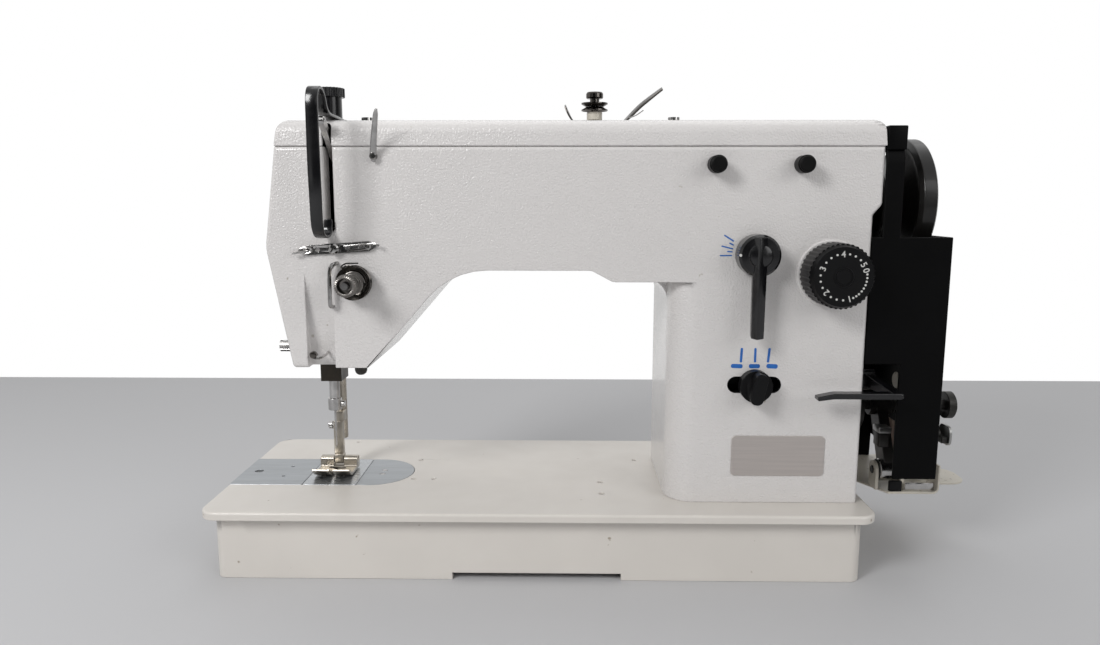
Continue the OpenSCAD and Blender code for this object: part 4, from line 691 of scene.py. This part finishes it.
asPiece(bm, "winderBasePlate", "chrome", "machine")
bm = bmesh.new()
spun(bm, [(0, 520), (5.6, 520.2), (6.4, 520.8), (6.6, 521.6), (0, 521.6)], (0, *winder["buffer"]), (1, 0, 0), 40)
asPiece(bm, "guardBuffer", "baseEnamel", "machine")
bm = bmesh.new()
slab(bm, *winder["latchPlate"])
upright = [e for e in bm.edges if abs(e.verts[0].co.x - e.verts[1].co.x) > 1]
bmesh.ops.bevel(bm, geom=upright, offset=5, segments=6, profile=0.5, affect="EDGES", material=-1)
asPiece(bm, "latchPlate", "silverBlock", "winder_latch")
bm = bmesh.new()
spun(bm, [(0, 562.05), (3, 562.2), (3.4, 562.0), (9.2, 562.0), (9.4, 562.6), (8.6, 563), (3.8, 563), (2.6, 564),
          (0, 564)], (0, *winder["spindle"]), (1, 0, 0), 48)
asPiece(bm, "winderCap", "blackPlastic", "winder_pulley")
print("winder dressed")

# Stitch-width lever: turned hub and ridged blade in place of the plain ones
widthLever = {"x": 389, "z": 179, "hub": 14.3, "tip": 122.4, "top": 191.5}
bm = bmesh.new()
x, z, r = widthLever["x"], widthLever["z"], widthLever["hub"]
spun(bm, [(0, 35), (6, 35), (6, 25.7), (r - 1, 25.7), (r, 24.7), (r, 12.6), (r - 1.6, 10.9), (8.3, 10.4), (7.6, 9.6),
          (7.3, 8.6), (5.2, 7.8), (0, 7.6)], (x, 0, z), (0, 1, 0), 72)
asPiece(bm, "widthLeverHub", "blackGloss", "width_lever", ["width_lever"])
bm = bmesh.new()
profile = [(-4.9, 16), (-5.1, 11.6), (-1.6, 6.2), (4.6, 9.8), (5, 16)]
ring = [bm.verts.new((x + dx, y, widthLever["top"])) for dx, y in profile]
face = bm.faces.new(ring)
grown = bmesh.ops.extrude_face_region(bm, geom=[face])["geom"]
lower = [v for v in grown if isinstance(v, bmesh.types.BMVert)]
bmesh.ops.translate(bm, vec=(0, 0, widthLever["tip"] - widthLever["top"]), verts=lower)
for v in lower:
    v.co.x = x + (v.co.x - x) * 0.86
    v.co.z += 1.6 if v.co.y > 12 else 0
bmesh.ops.recalc_face_normals(bm, faces=bm.faces)
bevelAll(bm, 0.55, 3, 20)
asPiece(bm, "widthLeverBlade", "blackGloss", "width_lever")
bm = bmesh.new()
disc(bm, x - r + 0.9, 11.0, z + 0.4, "y", 1.0, 0.9, 0.5, 20)
asPiece(bm, "widthLeverDot", "whiteInk", "width_lever")
print("width lever made")


# ---- camera, lights and floor ----

view = {"place": (-0.03099, -0.62147, 0.26790), "yaw": 0.848, "pitch": 8.574, "roll": -0.038, "lens": 26.52}
camera = bpy.data.objects.new("camera", bpy.data.cameras.new("camera"))
camera.data.lens = view["lens"]
camera.data.sensor_width = 36
camera.data.clip_start = 0.01
turn = Matrix.Rotation(math.radians(view["yaw"]), 4, "Z") @ Matrix.Rotation(-math.radians(view["pitch"]), 4, "X") \
    @ Matrix.Rotation(math.radians(view["roll"]), 4, "Y") @ Matrix.Rotation(math.radians(90), 4, "X")
camera.matrix_world = Matrix.Translation(view["place"]) @ turn
bpy.context.collection.objects.link(camera)
bpy.context.scene.camera = camera

lamps = {
    "key": {"place": (-0.85, -1.0, 0.95), "aim": (0, 0, 0.2), "size": 0.45, "power": 11.2},
    "fill": {"place": (1.3, -1.2, 0.9), "aim": (0.05, 0, 0.2), "size": 1.0, "power": 7},
    "top": {"place": (0.1, 0.5, 1.8), "aim": (0, 0, 0.2), "size": 1.6, "power": 8},
}
for name, lamp in lamps.items():
    light = bpy.data.lights.new(name, "AREA")
    light.energy = lamp["power"]
    light.size = lamp["size"]
    holder = bpy.data.objects.new(name, light)
    holder.location = lamp["place"]
    holder.rotation_euler = (Vector(lamp["aim"]) - Vector(lamp["place"])).to_track_quat("-Z", "Y").to_euler()
    bpy.context.collection.objects.link(holder)

# Light of the room: level for diffuse rays, and for reflections from behind, above and in patches
room = {"diffuse": 0.42, "behind": (-0.1, 0.7, 0.015, 0.85), "above": (0.3, 0.95, 0.015, 0.8),
        "patches": (0.52, 0.6, 0.0, 0.75), "patchScale": 2.4, "patchShape": (1, 1, 0.35)}
world = bpy.data.worlds.new("studio")
bpy.context.scene.world = world
world.use_nodes = True
tree = world.node_tree
paths = tree.nodes.new("ShaderNodeLightPath")
seen = tree.nodes.new("ShaderNodeMath")
seen.operation = "MAXIMUM"
tree.links.new(paths.outputs["Is Camera Ray"], seen.inputs[0])
tree.links.new(paths.outputs["Is Transmission Ray"], seen.inputs[1])
coords = tree.nodes.new("ShaderNodeTexCoord")
axes = tree.nodes.new("ShaderNodeSeparateXYZ")
tree.links.new(coords.outputs["Generated"], axes.inputs[0])
patches = tree.nodes.new("ShaderNodeTexNoise")
patches.inputs["Scale"].default_value = room["patchScale"]
patches.inputs["Detail"].default_value = 1
tall = tree.nodes.new("ShaderNodeMapping")
tall.inputs["Scale"].default_value = room["patchShape"]
tree.links.new(coords.outputs["Generated"], tall.inputs["Vector"])
tree.links.new(tall.outputs[0], patches.inputs["Vector"])
reflected = None
for source, key in ((axes.outputs["Y"], "behind"), (axes.outputs["Z"], "above"), (patches.outputs[0], "patches")):
    part = tree.nodes.new("ShaderNodeMapRange")
    for socket, number in zip(("From Min", "From Max", "To Min", "To Max"), room[key]):
        part.inputs[socket].default_value = number
    tree.links.new(source, part.inputs["Value"])
    if reflected is None:
        reflected = part.outputs[0]
        continue
    joined = tree.nodes.new("ShaderNodeMath")
    joined.operation = "MAXIMUM"
    tree.links.new(reflected, joined.inputs[0])
    tree.links.new(part.outputs[0], joined.inputs[1])
    reflected = joined.outputs[0]
glossy = tree.nodes.new("ShaderNodeMix")
glossy.inputs[2].default_value = room["diffuse"]
tree.links.new(paths.outputs["Is Glossy Ray"], glossy.inputs[0])
tree.links.new(reflected, glossy.inputs[3])
level = tree.nodes.new("ShaderNodeMath")
level.operation = "MAXIMUM"
tree.links.new(seen.outputs[0], level.inputs[0])
tree.links.new(glossy.outputs[0], level.inputs[1])
tree.nodes["Background"].inputs["Color"].default_value = (1, 1, 1, 1)
tree.links.new(level.outputs[0], tree.nodes["Background"].inputs["Strength"])

floorSizes = {"left": -2.2, "right": 2.2, "front": -2.2, "back": 0.58, "colour": (0.52, 0.52, 0.53)}
bm = bmesh.new()
bmesh.ops.create_grid(bm, x_segments=1, y_segments=1, size=0.5)
bmesh.ops.scale(bm, vec=(floorSizes["right"] - floorSizes["left"], floorSizes["back"] - floorSizes["front"], 1),
                verts=bm.verts)
bmesh.ops.translate(bm, vec=((floorSizes["right"] + floorSizes["left"]) / 2,
                             (floorSizes["back"] + floorSizes["front"]) / 2, 0), verts=bm.verts)
floorMesh = bpy.data.meshes.new("floor")
bm.to_mesh(floorMesh)
bm.free()
floor = bpy.data.objects.new("floor", floorMesh)
floorMaterial = bpy.data.materials.new("floorPaint")
floorMaterial.use_nodes = True
floorShader = floorMaterial.node_tree.nodes["Principled BSDF"]
floorShader.inputs["Base Color"].default_value = (*floorSizes["colour"], 1)
floorShader.inputs["Roughness"].default_value = 0.6
floorMesh.materials.append(floorMaterial)
bpy.context.collection.objects.link(floor)
bpy.context.scene.view_settings.view_transform = "Standard"
print("camera, lights and floor placed")
